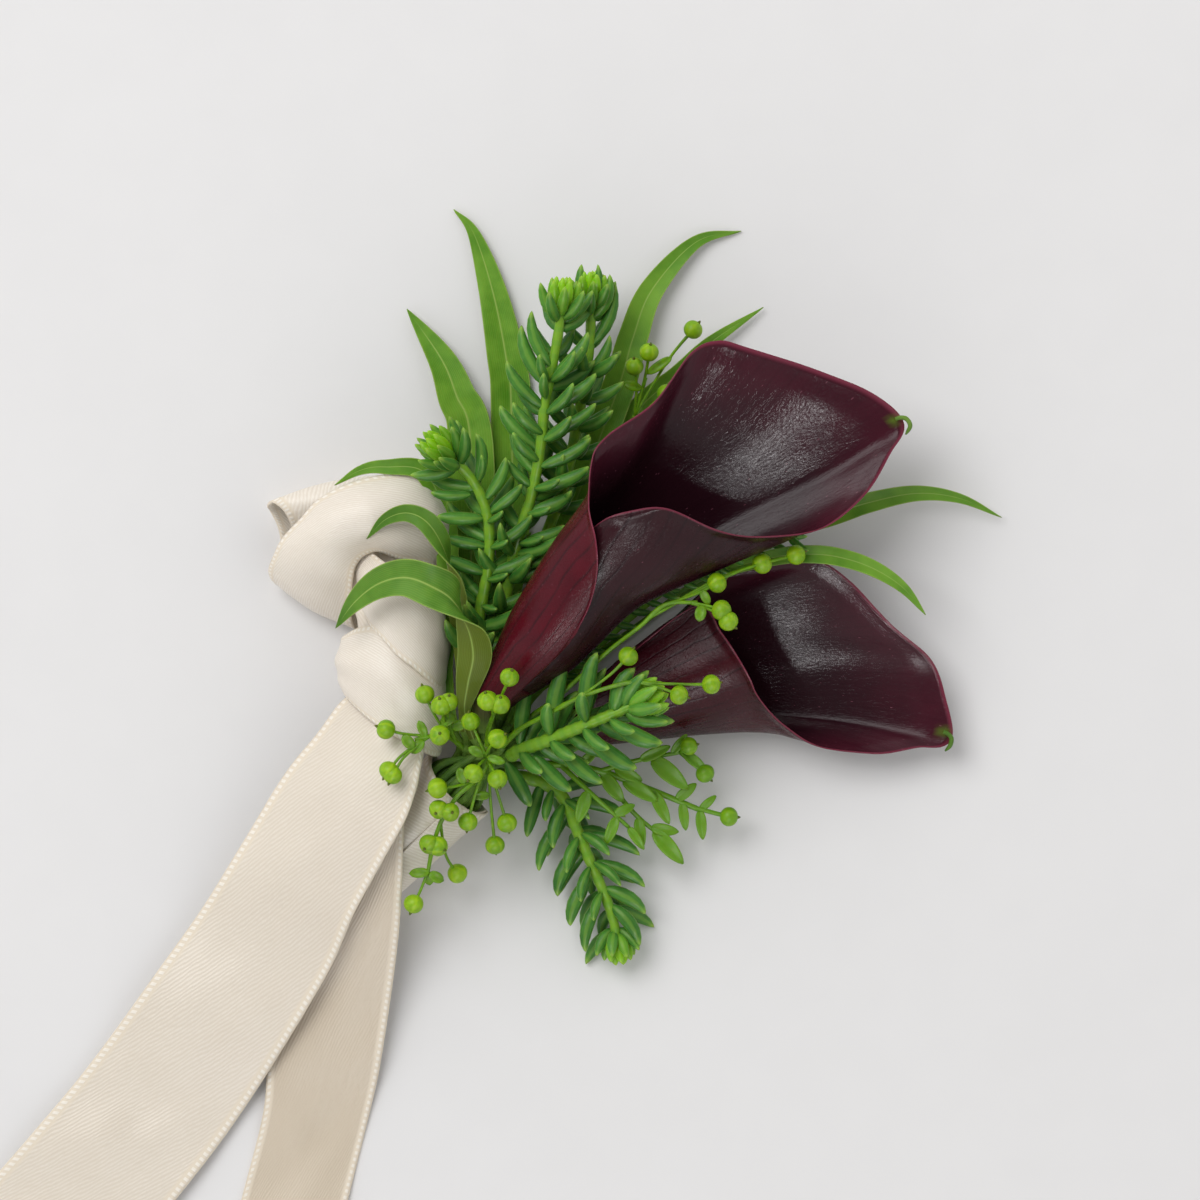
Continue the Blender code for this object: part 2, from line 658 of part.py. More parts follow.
# Berry sprays: the points of the main stalk, then each berry's centre with the share of the main
# stalk that its own stalk leaves at. Two berries close together grow as one lobed fruit.
SPRAYS = {
    "berries_left": (
        (head_root(160, 52), (2.2, 10.6, 16.0), (1.0, 11.0, 18.8), (-1.6, 11.2, 20.2),
         (-4.4, 10.6, 20.6)),
        ((-9.4, 12.4, 21.6, 0.8), (-8.9, 5.2, 21.4, 0.8), (-8.2, 4.4, 21.6, 0.8),
         (-2.6, 18.5, 23.0, 0.4), (0.3, 16.6, 24.4, 0.2), (1.6, 17.2, 24.0, 0.2),
         (0.0, 11.4, 24.8, 0.4)),
    ),
    "berries_lower": (
        (head_root(-100, 60, 0.8), (6.5, 3.4, 18.0), (3.2, 0.8, 18.8), (0.4, -3.4, 17.4),
         (-1.2, -8.0, 16.0), (-2.2, -13.0, 13.4)),
        ((-0.4, 2.1, 20.6, 0.15), (-0.2, -1.6, 19.4, 0.4), (1.8, -2.1, 19.6, 0.4),
         (-1.9, -7.7, 17.8, 0.7), (-0.3, -8.1, 17.6, 0.7), (3.0, -12.9, 10.6, 0.6),
         (-4.6, -18.2, 13.6, 1.0)),
    ),
    "berries_hub": (
        (head_root(-60, 76), (8.6, 6.4, 17.4), (8.0, 8.0, 21.6)),
        ((5.4, 13.8, 24.2, 1.0), (10.1, 10.8, 25.0, 1.0), (5.9, 4.7, 23.6, 0.8),
         (10.1, 3.7, 22.6, 0.7), (4.9, -3.8, 17.2, 0.5), (11.7, -4.0, 15.6, 0.5),
         (9.6, -7.9, 13.0, 0.4)),
    ),
    "berries_top": (
        (head_root(84, 74), (8.4, 12.0, 18.0), (9.4, 15.0, 23.0)),
        ((8.4, 17.4, 26.6, 1.0), (10.6, 16.8, 26.6, 1.0), (12.2, 21.5, 28.0, 0.8)),
    ),
    "berries_front": (
        (head_root(30, 62), (14.0, 12.4, 18.0), (18.0, 14.6, 21.4), (25.0, 18.2, 25.6),
         (33.0, 20.6, 27.2), (38.0, 20.4, 27.4)),
        ((41.8, 18.4, 27.6, 0.9), (47.4, 20.3, 26.6, 1.0), (32.9, 25.2, 27.4, 0.6)),
    ),
    "berries_right": (
        (head_root(40, 38), (16.0, 14.6, 14.4), (21.0, 18.4, 18.6), (29.4, 26.0, 23.6),
         (35.0, 30.4, 25.6), (39.4, 34.2, 26.0), (45.0, 34.6, 25.8)),
        ((48.4, 38.0, 24.4, 0.9), (50.4, 31.3, 26.6, 1.0), (49.2, 33.2, 26.6, 1.0),
         (56.3, 41.4, 22.2, 0.8), (62.2, 42.9, 21.7, 0.8)),
    ),
    "berries_back": (
        (head_root(66, -44), (14.8, 19.4, 2.8), (22.2, 36.0, 3.8), (27.6, 52.0, 4.8),
         (33.6, 66.0, 6.4), (36.0, 74.0, 8.0)),
        ((36.6, 78.4, 10.0, 1.0), (44.3, 82.4, 9.0, 0.9), (39.6, 71.2, 8.6, 0.85),
         (34.0, 75.9, 9.6, 0.9)),
    ),
}


def make_spray(name, stalk, berries, look):
    """One spray: a main stalk with a thin bent stalk to each round berry."""
    path = smooth_path(stalk, 8)
    main = add_object(name, *ringed(tube_rings(path, 1.3 * STALK_RADIUS, 4, (1, 0.3, 0.2))), look)
    place(name, smooth_path(stalk, 40), 1.3 * STALK_RADIUS)
    added = []
    for x, y, z, share in berries:
        centre = np.array((x, y, z))
        i = min(int(share * 7), 6)
        start = path[i]
        ahead = path[i + 1] - path[i]
        bend = start + 0.5 * (centre - start) + 0.12 * np.linalg.norm(centre - start) * unit(ahead)
        twig = smooth_path((start, bend, centre), 4)
        added.append(
            add_object(name + "_twig", *ringed(tube_rings(twig, STALK_RADIUS, 3, (1, 0.3, 0.2))), look)
        )
        added.append(lump(name + "_berry", centre, (0.5 * BERRY_DIAMETER,) * 3, look))
        place(name, [centre], 0.5 * BERRY_DIAMETER)
        place(name, twig[1:], STALK_RADIUS)
    return fuse(main, added)


# The lime sprig: a thin stem with soft pointed leaves and a few berries.
LIME_STEM = (
    head_root(-14, 14), (21.0, 6.2, 9.4), (28.0, 5.0, 9.4), (36.8, 1.8, 8.6), (45.5, -1.8, 7.6),
)
LIME_TWIGS = (
    ((28.0, 5.0, 9.4), (35.0, 7.0, 9.6), (42.6, 8.4, 9.6)),
    ((21.0, 6.2, 9.4), (27.0, 0.6, 11.6), (33.0, -4.8, 9.4)),
    ((28.0, 5.0, 9.4), (34.0, -2.4, 8.2), (39.6, -7.0, 6.8)),
)
LIME_BERRIES = ((43.6, 9.4, 11.0), (46.4, 4.6, 9.6), (50.6, -3.0, 7.4))
LIME_LEAF_LENGTH = 6.0


def make_lime_sprig(name, look, draw):
    """A branched stem with pairs of soft leaves, fused with its berries."""
    runs = [smooth_path(run, 8) for run in (LIME_STEM, *LIME_TWIGS)]
    stem = add_object(name, *ringed(tube_rings(runs[0], 0.7, 5)), look)
    added = [add_object(name + "_twig", *ringed(tube_rings(run, 0.55, 4)), look) for run in runs[1:]]
    for run in runs:
        place(name, run, 0.7)
    for run in runs:
        along, side, over = stem_frames(run)
        for i in (4, 7):
            for sign in (-1, 1):
                out = unit(sign * side[i] + draw.uniform(-0.3, 0.7) * over[i])
                size = LIME_LEAF_LENGTH * draw.uniform(0.8, 1.15)
                root = run[i] - 0.5 * along[i]
                points, marks = fleshy_leaf(root, out, along[i], size, 2.4, 0.9)
                if is_clear(name, marks, 0.5):
                    place(name, marks, 0.5)
                    added.append(add_object(name + "_leaf", points, LEAF_FACES, look))
    for centre in LIME_BERRIES:
        start = runs[0][-2] if centre[1] < 2 else runs[1][-2]
        twig = smooth_path((start, 0.5 * (start + np.array(centre)) + (0, 0, 0.4), centre), 4)
        added.append(add_object(name + "_twig", *ringed(tube_rings(twig, STALK_RADIUS, 4)), look))
        added.append(lump(name + "_berry", centre, (0.45 * BERRY_DIAMETER,) * 3, look))
        place(name, [centre], 0.5 * BERRY_DIAMETER)
    return fuse(stem, added)


# The tie: each band has the points of its left and right edges.
FRONT_TAIL = (
    ((-12.6, 24.0, 8.0), (-16.6, 17.7, 9.6), (-27.8, 3.5, 8.0), (-39.0, -13.5, 4.2),
     (-50.0, -30.8, 2.0), (-61.6, -46.7, 1.6), (-70.9, -57.9, 1.6), (-84.0, -73.0, 1.5)),
    ((-4.0, 16.0, 16.0), (-2.4, 4.0, 17.0), (-7.6, -10.5, 17.2), (-17.0, -26.5, 11.6),
     (-28.6, -45.0, 4.0), (-40.0, -61.6, 1.7), (-49.0, -73.6, 1.6), (-57.0, -82.0, 1.5)),
)
BACK_TAIL = (
    ((-12.0, 18.0, 9.0), (-13.5, 8.0, 11.6), (-15.0, -6.0, 13.4), (-19.0, -22.0, 10.4),
     (-24.5, -41.0, 2.0), (-30.3, -54.8, 0.5), (-34.6, -70.0, 0.4), (-37.5, -80.0, 0.4)),
    ((-5.0, 16.0, 13.6), (-4.2, 5.0, 15.0), (-5.6, -7.0, 15.4), (-7.3, -22.9, 10.4),
     (-8.9, -36.0, 3.2), (-11.9, -52.3, 0.6), (-16.3, -70.0, 0.4), (-18.5, -78.0, 0.4)),
)
LOOP = (
    ((-4.0, 30.0, 6.0), (-0.6, 40.0, 4.4), (-2.0, 49.0, 2.4), (-8.0, 56.6, 1.4),
     (-18.0, 55.6, 1.2), (-26.0, 53.2, 1.6), (-29.4, 51.4, 4.0), (-28.2, 48.6, 7.0),
     (-23.0, 51.0, 8.6), (-14.0, 54.6, 9.4), (-6.0, 52.0, 10.4), (-1.6, 44.0, 12.2),
     (-2.4, 34.0, 14.0), (-4.5, 27.0, 13.4)),
    ((-11.0, 26.0, 5.0), (-14.0, 33.0, 2.6), (-18.0, 36.0, 1.2), (-22.0, 37.4, 0.7),
     (-26.0, 38.0, 0.7), (-28.8, 38.4, 2.0), (-30.0, 39.2, 4.6), (-29.4, 38.6, 7.6),
     (-26.4, 36.4, 10.2), (-21.0, 33.6, 12.0), (-17.0, 31.4, 13.0), (-14.6, 29.6, 13.6),
     (-12.6, 27.4, 13.6), (-10.6, 24.0, 13.0)),
)
KNOT = (
    ((-7.6, 36.0, 11.0), (-7.6, 31.0, 11.0), (-8.6, 25.0, 11.2), (-9.2, 19.0, 11.6),
     (-8.6, 13.6, 12.4), (-7.0, 9.4, 13.4)),
    (5.0, 7.4, 8.8, 8.6, 6.6, 2.6),
    (4.0, 6.6, 8.0, 8.0, 5.8, 2.4),
)


def band_rings(left, right, count, bow):
    """Rings of a flat band between its two edges, raised by bow in the middle of its width."""
    left, right = smooth_path(left, count), smooth_path(right, count)
    middle = 0.5 * (left + right)
    normal = unit(np.cross(tangents(middle), left - right))
    middle = middle + bow * normal
    deep = 0.5 * RIBBON_THICKNESS * normal
    rings = np.stack(
        [left + deep, middle + deep, right + deep, right - deep, middle - deep, left - deep], axis=1
    )
    rings[..., 2] = np.maximum(rings[..., 2], 0.0)
    return rings


def make_tie(look):
    """The tied ribbon: a knot with a folded loop and two tails that run out of it."""
    centre = smooth_path(KNOT[0], 10)
    half_width = np.interp(np.linspace(0, 1, 10), np.linspace(0, 1, 6), KNOT[1])
    half_height = np.interp(np.linspace(0, 1, 10), np.linspace(0, 1, 6), KNOT[2])
    turn = np.linspace(0, 2 * math.pi, 12, endpoint=False)
    ring = np.stack([np.cos(turn), 0 * turn, np.sin(turn)], axis=1)
    size = np.stack([half_width, 0 * half_width, half_height], axis=1)
    knot = add_object("ribbon_tie", *ringed(centre[:, None] + ring[None] * size[:, None]), look)
    bands = []
    for edges, count, bow in ((FRONT_TAIL, 13, 0.9), (BACK_TAIL, 13, 1.4), (LOOP, 26, 0.4)):
        rings = band_rings(*edges, count, bow)
        bands.append(add_object("ribbon_band", *ringed(rings, flip_from=3), look))
        place("ribbon_tie", band_rings(*edges, 60, bow), 0.5)
    place("ribbon_tie", (centre[:, None] + ring[None] * size[:, None])[::2], 1.0)
    return fuse(knot, bands)


def collar_ring(t, inset, sides=16):
    """Points round the wound ribbon at t along its axis, inset from its outside, flat below."""
    share = (t - COLLAR_BACK) / (COLLAR_MOUTH - COLLAR_BACK)
    tall = COLLAR_HALF_HEIGHT_BACK + share * (COLLAR_HALF_HEIGHT_MOUTH - COLLAR_HALF_HEIGHT_BACK)
    turn = np.linspace(0, 2 * math.pi, sides, endpoint=False) + math.pi / sides
    right = np.array((math.sin(AXIS_AZIMUTH), -math.cos(AXIS_AZIMUTH), 0.0))
    wide = (COLLAR_HALF_WIDTH - inset) * np.cos(turn)
    high = (tall - inset) * np.sin(turn)
    ring = axis_point(t) + wide[:, None] * right + high[:, None] * np.array((0.0, 0.0, 1.0))
    ring[:, 2] = np.maximum(ring[:, 2], inset)
    return ring


def make_collar(look):
    """The ribbon wound round the stems: an open ring with a flat underside at the origin."""
    stations = np.linspace(COLLAR_BACK, COLLAR_MOUTH, 3)
    loops = [collar_ring(t, 0.0) for t in stations]
    loops += [collar_ring(t, COLLAR_WALL) for t in stations[::-1]]
    loops = np.array(loops)
    n, m, _ = loops.shape
    faces = []
    for i in range(n):
        for k in range(m):
            a, b = i * m + k, i * m + (k + 1) % m
            c, d = ((i + 1) % n) * m + (k + 1) % m, ((i + 1) % n) * m + k
            faces += [(a, b, c), (a, c, d)]
    place("ribbon_collar", loops, 0.5)
    return add_object("ribbon_collar", loops.reshape(-1, 3), faces, look)


def make_bundle(look):
    """The bound stems: one rod inside the wound ribbon, with a round head past its mouth."""
    inset = COLLAR_WALL + GAP
    rings = []
    for t in np.linspace(BUNDLE_BACK, BUNDLE_NECK, 4):
        inside = max(t, COLLAR_BACK)
        rings.append(collar_ring(inside, inset) + axis_point(t) - axis_point(inside))
    head = axis_point(BUNDLE_HEAD)
    ahead = unit(axis_point(1.0) - axis_point(0.0))
    right = unit(np.cross(ahead, (0.0, 0.0, 1.0)))
    over = np.cross(right, ahead)
    turn = np.linspace(0, 2 * math.pi, 16, endpoint=False) + math.pi / 16
    around = np.cos(turn)[:, None] * right + np.sin(turn)[:, None] * over
    for lean in np.radians((-5, 15, 35, 55, 75)):
        radius = BUNDLE_HEAD_RADIUS * math.cos(lean)
        rings.append(head + BUNDLE_HEAD_RADIUS * math.sin(lean) * ahead + radius * around)
    place("stem_bundle", np.array(rings), 0.3)
    return add_object("stem_bundle", *ringed(rings), look)


def main():
    """Clears the scene and makes every piece of the corsage."""
    for old in list(bpy.data.objects):
        bpy.data.objects.remove(old)
    draw = random.Random(11)
    satin = material("ivory_satin", (0.80, 0.70, 0.54), 0.35)
    petal = material("dark_spathe", (0.05, 0.006, 0.016), 0.3)
    stem = material("green_stem", (0.14, 0.30, 0.05), 0.5)
    spadix = material("dark_spadix", (0.16, 0.05, 0.02), 0.7)
    blade = material("leaf_green", (0.10, 0.26, 0.05), 0.45)
    fleshy = material("sedum_green", (0.04, 0.18, 0.06), 0.35)
    berry = material("berry_lime", (0.26, 0.44, 0.02), 0.35)

    make_bundle(stem)
    make_collar(satin)
    make_tie(satin)
    make_bloom("calla_upper", UPPER_TUBE, UPPER_RIM, UPPER_STEM, petal, stem, spadix)
    make_bloom("calla_lower", LOWER_TUBE, LOWER_RIM, LOWER_STEM, petal, stem, spadix)
    for name, (points, widest, sides) in LONG_LEAVES.items():
        make_long_leaf(name, points, widest, sides, blade)
    for name, (points, *_) in SPRIGS.items():
        place(name, smooth_path(points, 80), SEDUM_STEM)
    for name, (stalk, berries) in SPRAYS.items():
        make_spray(name, stalk, berries, berry)
    make_lime_sprig("lime_sprig", berry, draw)
    for name, (points, first, length, whorls) in SPRIGS.items():
        make_sprig(name, points, first, length, whorls, fleshy, draw)
    for made in bpy.data.objects:
        made.data.shade_smooth()
        made.data.set_sharp_from_angle(angle=SHARP_FROM)


main()
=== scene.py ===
"""The looks of a calla lily corsage on a table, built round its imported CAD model.

Two dark calla blooms, sedum sprigs, narrow leaves and berry sprays come out of one bundle of
bound stems. A satin ribbon is wound round the bundle and a second one is tied over it. Points
and sizes are in millimetres in the CAD model's own frame, and meshes are made in metres.
"""

import logging
import math
import random
from dataclasses import dataclass, field
from enum import Enum
from typing import ClassVar

import bmesh
import bpy
import numpy as np
from bpy.types import Material, NodeSocket, NodeTree, Object
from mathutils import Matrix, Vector


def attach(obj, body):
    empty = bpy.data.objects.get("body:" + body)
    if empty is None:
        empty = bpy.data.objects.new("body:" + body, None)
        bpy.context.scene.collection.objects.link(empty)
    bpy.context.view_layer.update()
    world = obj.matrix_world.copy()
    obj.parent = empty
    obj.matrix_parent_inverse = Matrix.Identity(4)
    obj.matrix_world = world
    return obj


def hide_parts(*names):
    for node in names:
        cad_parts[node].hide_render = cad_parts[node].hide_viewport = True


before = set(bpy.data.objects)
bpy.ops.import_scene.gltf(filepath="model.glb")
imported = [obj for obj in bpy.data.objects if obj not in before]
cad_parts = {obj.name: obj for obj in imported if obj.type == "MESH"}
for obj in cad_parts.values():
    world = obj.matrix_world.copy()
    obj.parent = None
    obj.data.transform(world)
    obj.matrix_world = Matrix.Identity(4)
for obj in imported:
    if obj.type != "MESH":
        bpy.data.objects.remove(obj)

LOG = logging.getLogger("corsage")
MM = 0.001
UP = np.array((0.0, 0.0, 1.0))
Colour = tuple[float, float, float, float]
Points = np.ndarray
Value = NodeSocket | float
Mark = np.ndarray | float

# The bundle's axis and the wound ribbon on it.
AXIS_AZIMUTH = math.radians(43)
COLLAR_MOUTH = 5.0
COLLAR_BACK = -20.0
COLLAR_HALF_WIDTH = 7.5
COLLAR_HALF_HEIGHT_BACK = 5.5
COLLAR_HALF_HEIGHT_MOUTH = 8.2
COLLAR_SUNK = 0.5
BUNDLE_BACK = -21.0
BUNDLE_HEAD = 11.0
BUNDLE_HEAD_RADIUS = 6.0
ROOT_GAP = 0.5
STEM_GAP = 0.45
RIBBON_WIDTH = 25.0
RIBBON_THICKNESS = 0.34
AXIS = np.array((math.cos(AXIS_AZIMUTH), math.sin(AXIS_AZIMUTH), 0.0))
AXIS_RIGHT = np.array((math.sin(AXIS_AZIMUTH), -math.cos(AXIS_AZIMUTH), 0.0))

# Nearly upright, so that an upright path has a side as well.
SEAM_UP = np.array((0.02, 0.01, 1.0))
GOLDEN_ANGLE = 2.39996
TUBE_STEPS = 60
LOWEST_PETAL = 0.4
HIGHEST_PETAL = 36.5


class Slot(Enum):
    """The names of the material slots."""

    SATIN = "ivory_satin"
    SPATHE = "dark_spathe"
    SPADIX = "dark_spadix"
    STEM = "green_stem"
    BERRY = "berry_lime"
    LIME = "lime_leaf"
    LEAF = "leaf_green"
    SEDUM = "sedum_green"


class Inside(Enum):
    """Which way the hollow side of a ribbon's bow looks."""

    DOWN = "down"
    CENTRE = "centre"


# Curves and directions


def unit(v: Points) -> Points:
    """The vectors of v at length one."""
    return v / np.maximum(np.linalg.norm(v, axis=-1, keepdims=True), 1e-9)


def tangents(path: Points) -> Points:
    """The direction of a path at each of its points."""
    return unit(np.gradient(path, axis=0))


def smooth_path(points: tuple | list | Points, count: int) -> Points:
    """Evenly spaced points on a smooth curve through the given points.

    A Catmull-Rom curve is sampled finely, and its samples are interpolated at equal steps of
    the length run so far.

    Args:
        points: the points to pass through, with any number of further values each.
        count: how many points to return.

    Returns:
        An array of count rows.
    """
    p = np.array(points, float)
    p = np.vstack([2 * p[0] - p[1], p, 2 * p[-1] - p[-2]])
    spans = len(points) - 1
    t = np.linspace(0, spans, 30 * spans + 1)
    i = np.minimum(t.astype(int), spans - 1)
    f = (t - i)[:, None]
    a, b, c, d = p[i], p[i + 1], p[i + 2], p[i + 3]
    q = 0.5 * (
        2 * b + (c - a) * f + (2 * a - 5 * b + 4 * c - d) * f**2 + (3 * b - a - 3 * c + d) * f**3
    )
    run = np.concatenate([[0], np.cumsum(np.linalg.norm(np.diff(q[:, :3], axis=0), axis=1))])
    want = np.linspace(0, run[-1], count)
    return np.stack([np.interp(want, run, q[:, k]) for k in range(q.shape[1])], axis=1)


def run_along(path: Points) -> Points:
    """The length run so far at each point of a path."""
    return np.concatenate([[0], np.cumsum(np.linalg.norm(np.diff(path[:, :3], axis=0), axis=1))])


def smoothstep(x: Points) -> Points:
    """A soft step of x from 0 at 0 to 1 at 1."""
    x = np.clip(x, 0, 1)
    return x * x * (3 - 2 * x)


def ripple(x: Points, y: Points, seed: int) -> Points:
    """A smooth irregular wave over x and y, from four sine products.

    Args:
        x: places in one direction.
        y: places in the other one.
        seed: the number that its random draws start from.

    Returns:
        Values between about -1 and 1.
    """
    draw = np.random.default_rng(seed)
    total = np.zeros(np.broadcast(x, y).shape)
    for step in range(4):
        a, b, c, d = draw.uniform(0.6, 1.5, 2).tolist() + draw.uniform(0, 6.3, 2).tolist()
        total = total + np.sin(a * x * (step + 1) + c) * np.sin(b * y * (step + 1) + d) / (step + 1)
    return total / 1.6


def collar_share(t: Mark) -> Mark:
    """How far t is from the collar's back to its mouth."""
    return (t - COLLAR_BACK) / (COLLAR_MOUTH - COLLAR_BACK)


def collar_half_height(share: Mark) -> Mark:
    """Half the collar's height at a share of its length."""
    return COLLAR_HALF_HEIGHT_BACK + share * (COLLAR_HALF_HEIGHT_MOUTH - COLLAR_HALF_HEIGHT_BACK)


def axis_point(t: float) -> Points:
    """A point on the bundle's axis, t millimetres from the origin towards the mouth."""
    half = collar_half_height(collar_share(t))
    return np.array([t * math.cos(AXIS_AZIMUTH), t * math.sin(AXIS_AZIMUTH), half - COLLAR_SUNK])


def head_root(azimuth: float, elevation: float, off: float = ROOT_GAP) -> tuple:
    """A point just off the bundle's round head.

    Args:
        azimuth: the direction seen from above, in degrees.
        elevation: the angle over the level, in degrees.
        off: how far it is from the head.

    Returns:
        The point's three values.
    """
    a, e = math.radians(azimuth), math.radians(elevation)
    way = np.array([math.cos(e) * math.cos(a), math.cos(e) * math.sin(a), math.sin(e)])
    return tuple(axis_point(BUNDLE_HEAD) + (BUNDLE_HEAD_RADIUS + off) * way)


def cross_frame(path: Points) -> tuple[Points, Points, Points]:
    """Unit directions along a path, to its side and over it, at each of its points."""
    along = tangents(path)
    side = unit(np.cross(along, SEAM_UP))
    return along, side, np.cross(side, along)


def turns(count: int) -> Points:
    """Even angles of one full turn."""
    return np.linspace(0, 2 * math.pi, count, endpoint=False)


def circles(side: Points, over: Points, count: int) -> Points:
    """Unit rings of count points, each in the plane of its two directions."""
    turn = turns(count)
    return np.cos(turn)[:, None] * side[:, None, :] + np.sin(turn)[:, None] * over[:, None, :]


def bent_line(root: Points, bend: Points, tip: Points, s: Points) -> Points:
    """A quadratic curve from root to tip at the shares s, pulled towards the bend point."""
    return (1 - s) ** 2 * root + 2 * s * (1 - s) * bend + s**2 * tip


def spread(u: Points, v: Points) -> Points:
    """The texture places of a grid whose columns are at u and whose rows are at v."""
    return np.stack(np.meshgrid(u, v), -1)


# Meshes


def linked(name: str, data: bpy.types.ID) -> Object:
    """An object with the given data, linked to the scene."""
    made = bpy.data.objects.new(name, data)
    bpy.context.scene.collection.objects.link(made)
    return made


@dataclass
class Surface:
    """Grids of points that make up one piece, with the marks that its material reads.

    The marks are inner (1 on an upper or inner face, 0 on the other and on stalks), tone (a value
    of its own for each repeat, and painted shade on the ribbon) and tip (how near a point is to a tip).
    """

    points: list = field(default_factory=list)
    faces: list = field(default_factory=list)
    corners: list = field(default_factory=list)
    marks: dict = field(default_factory=lambda: {"inner": [], "tone": [], "tip": []})
    count: int = 0

    def _keep(self, points: Points, **marks: Mark) -> int:
        """Adds points.

        Args:
            points: any grid of points.
            marks: the value of each mark.

        Returns:
            The index of the first point.
        """
        first = self.count
        self.points.append(points.reshape(-1, 3))
        for key, stored in self.marks.items():
            stored.append(np.broadcast_to(marks[key], points.shape[:-1]).reshape(-1))
        self.count += len(self.points[-1])
        return first

    def grid(
        self, points: Points, uv: Points, wrap: bool = False,
        inner: Mark = 1.0, tone: Mark = 0.5, tip: Mark = 0.0,
    ) -> int:
        """Adds a grid of quads between rows and columns of points.

        Args:
            points: rows by columns by 3.
            uv: the same grid of texture places, one column wider where the grid wraps round.
            wrap: whether the last column joins the first one.
            inner: the mark of the upper face, one value or a grid.
            tone: the mark of the repeat.
            tip: the mark of the tip.

        Returns:
            The index of the first point.
        """
        n, m, _ = points.shape
        first = self._keep(points, inner=inner, tone=tone, tip=tip)
        i, k = np.meshgrid(np.arange(n - 1), np.arange(m if wrap else m - 1), indexing="ij")
        after = (k + 1) % m
        quads = first + np.stack([i * m + k, i * m + after, (i + 1) * m + after, (i + 1) * m + k], -1)
        self.faces.append(quads.reshape(-1, 4))
        corner = np.stack([uv[i, k], uv[i, k + 1], uv[i + 1, k + 1], uv[i + 1, k]], axis=2)
        self.corners.append(corner.reshape(-1, 4, 2))
        return first

    def rings(
        self, points: Points, uv: Points, inner: float = 1.0, tone: float = 0.5, tip: Mark = 0.0,
        poles: tuple[Points, Points] | None = None,
    ) -> None:
        """Adds a closed form through rings of points, with a fan to a pole at each end.

        Args:
            points: rings by points by 3.
            uv: rings by one more than points by 2.
            inner: the mark of the inner face.
            tone: the mark of the repeat.
            tip: the mark of the tip, one value or one for each ring.
            poles: the two end points, or None for the middles of the end rings.
        """
        n, m, _ = points.shape
        tip = np.broadcast_to(tip, n)
        first = self.grid(points, uv, wrap=True, inner=inner, tone=tone, tip=tip[:, None])
        ends = (points[0].mean(0), points[-1].mean(0)) if poles is None else poles
        k = np.arange(m)
        for row, pole in ((0, ends[0]), (n - 1, ends[1])):
            spot = self._keep(np.asarray(pole, float)[None, :], inner=inner, tone=tone, tip=tip[row])
            a, b = first + row * m + k, first + row * m + (k + 1) % m
            fan = np.stack([b, a, np.full(m, spot)], axis=1)
            middle = 0.5 * (uv[row, k] + uv[row, k + 1])
            corner = np.stack([uv[row, k + 1], uv[row, k], middle], axis=1)
            order = slice(None) if row == 0 else slice(None, None, -1)
            self.faces.append(fan[:, order])
            self.corners.append(corner[:, order])

    def tube(
        self, path: Points, radii: Mark, sides: int = 8, tone: float = 0.5, tip: Mark = 0.0
    ) -> None:
        """Adds a closed tube; its texture runs once round and in millimetres along.

        Args:
            path: the points of its middle line.
            radii: one radius, or one for each point.
            sides: the points round it.
            tone: the mark of the repeat.
            tip: the mark of the tip.
        """
        _, side, over = cross_frame(path)
        radii = np.broadcast_to(radii, len(path))[:, None, None]
        places = spread(np.linspace(0, 1, sides + 1), run_along(path))
        self.rings(path[:, None, :] + radii * circles(side, over, sides), places, tone=tone, tip=tip)

    def shell(
        self, sheet: Points, thickness: Mark, uv: Points, flip: bool = False,
        tone: Mark = 0.5, tip: Mark = 0.0, floor: float = 0.0,
    ) -> None:
        """Adds a closed thin shell round a grid surface, with a rounded rim.

        Each face is the sheet moved by half the thickness along its normal, and a row of points
        stands a quarter of the thickness outside each long edge.

        Args:
            sheet: rows by columns by 3, the middle surface.
            thickness: one value or a grid of them.
            uv: rows by columns by 2.
            flip: whether the first face is the one against the surface's own normal.
            tone: the mark of the repeat.
            tip: the mark of the tip.
            floor: the lowest height that a point may have.
        """
        n, m, _ = sheet.shape
        normal = unit(np.cross(np.gradient(sheet, axis=0), np.gradient(sheet, axis=1)))
        half = 0.5 * np.broadcast_to(thickness, (n, m))[..., None] * (-normal if flip else normal)
        top, low = sheet + half, sheet - half
        lift = np.maximum(floor - low[..., 2], 0)
        top[..., 2] += lift
        low[..., 2] += lift
        middle = 0.5 * (top + low)

        def rim(k: int, near: int) -> Points:
            """The row outside one long edge, away from the column next to it."""
            out = 0.5 * np.linalg.norm(half[:, k], axis=-1, keepdims=True)
            return middle[:, k] + out * unit(middle[:, k] - middle[:, near])

        ring = np.concatenate([top, rim(-1, -2)[:, None], low[:, ::-1], rim(0, 1)[:, None]], axis=1)
        texture = np.concatenate([uv, uv[:, -1:], uv[:, ::-1], uv[:, :1], uv[:, :1]], axis=1)
        inner = np.concatenate([np.ones(m), [0.5], np.zeros(m), [0.5]])

        def marked(mark: Mark) -> Points:
            """A mark of the sheet, spread over the ring of both faces."""
            full = np.broadcast_to(mark, (n, m))
            return np.concatenate([full, full[:, -1:], full[:, ::-1], full[:, :1]], axis=1)

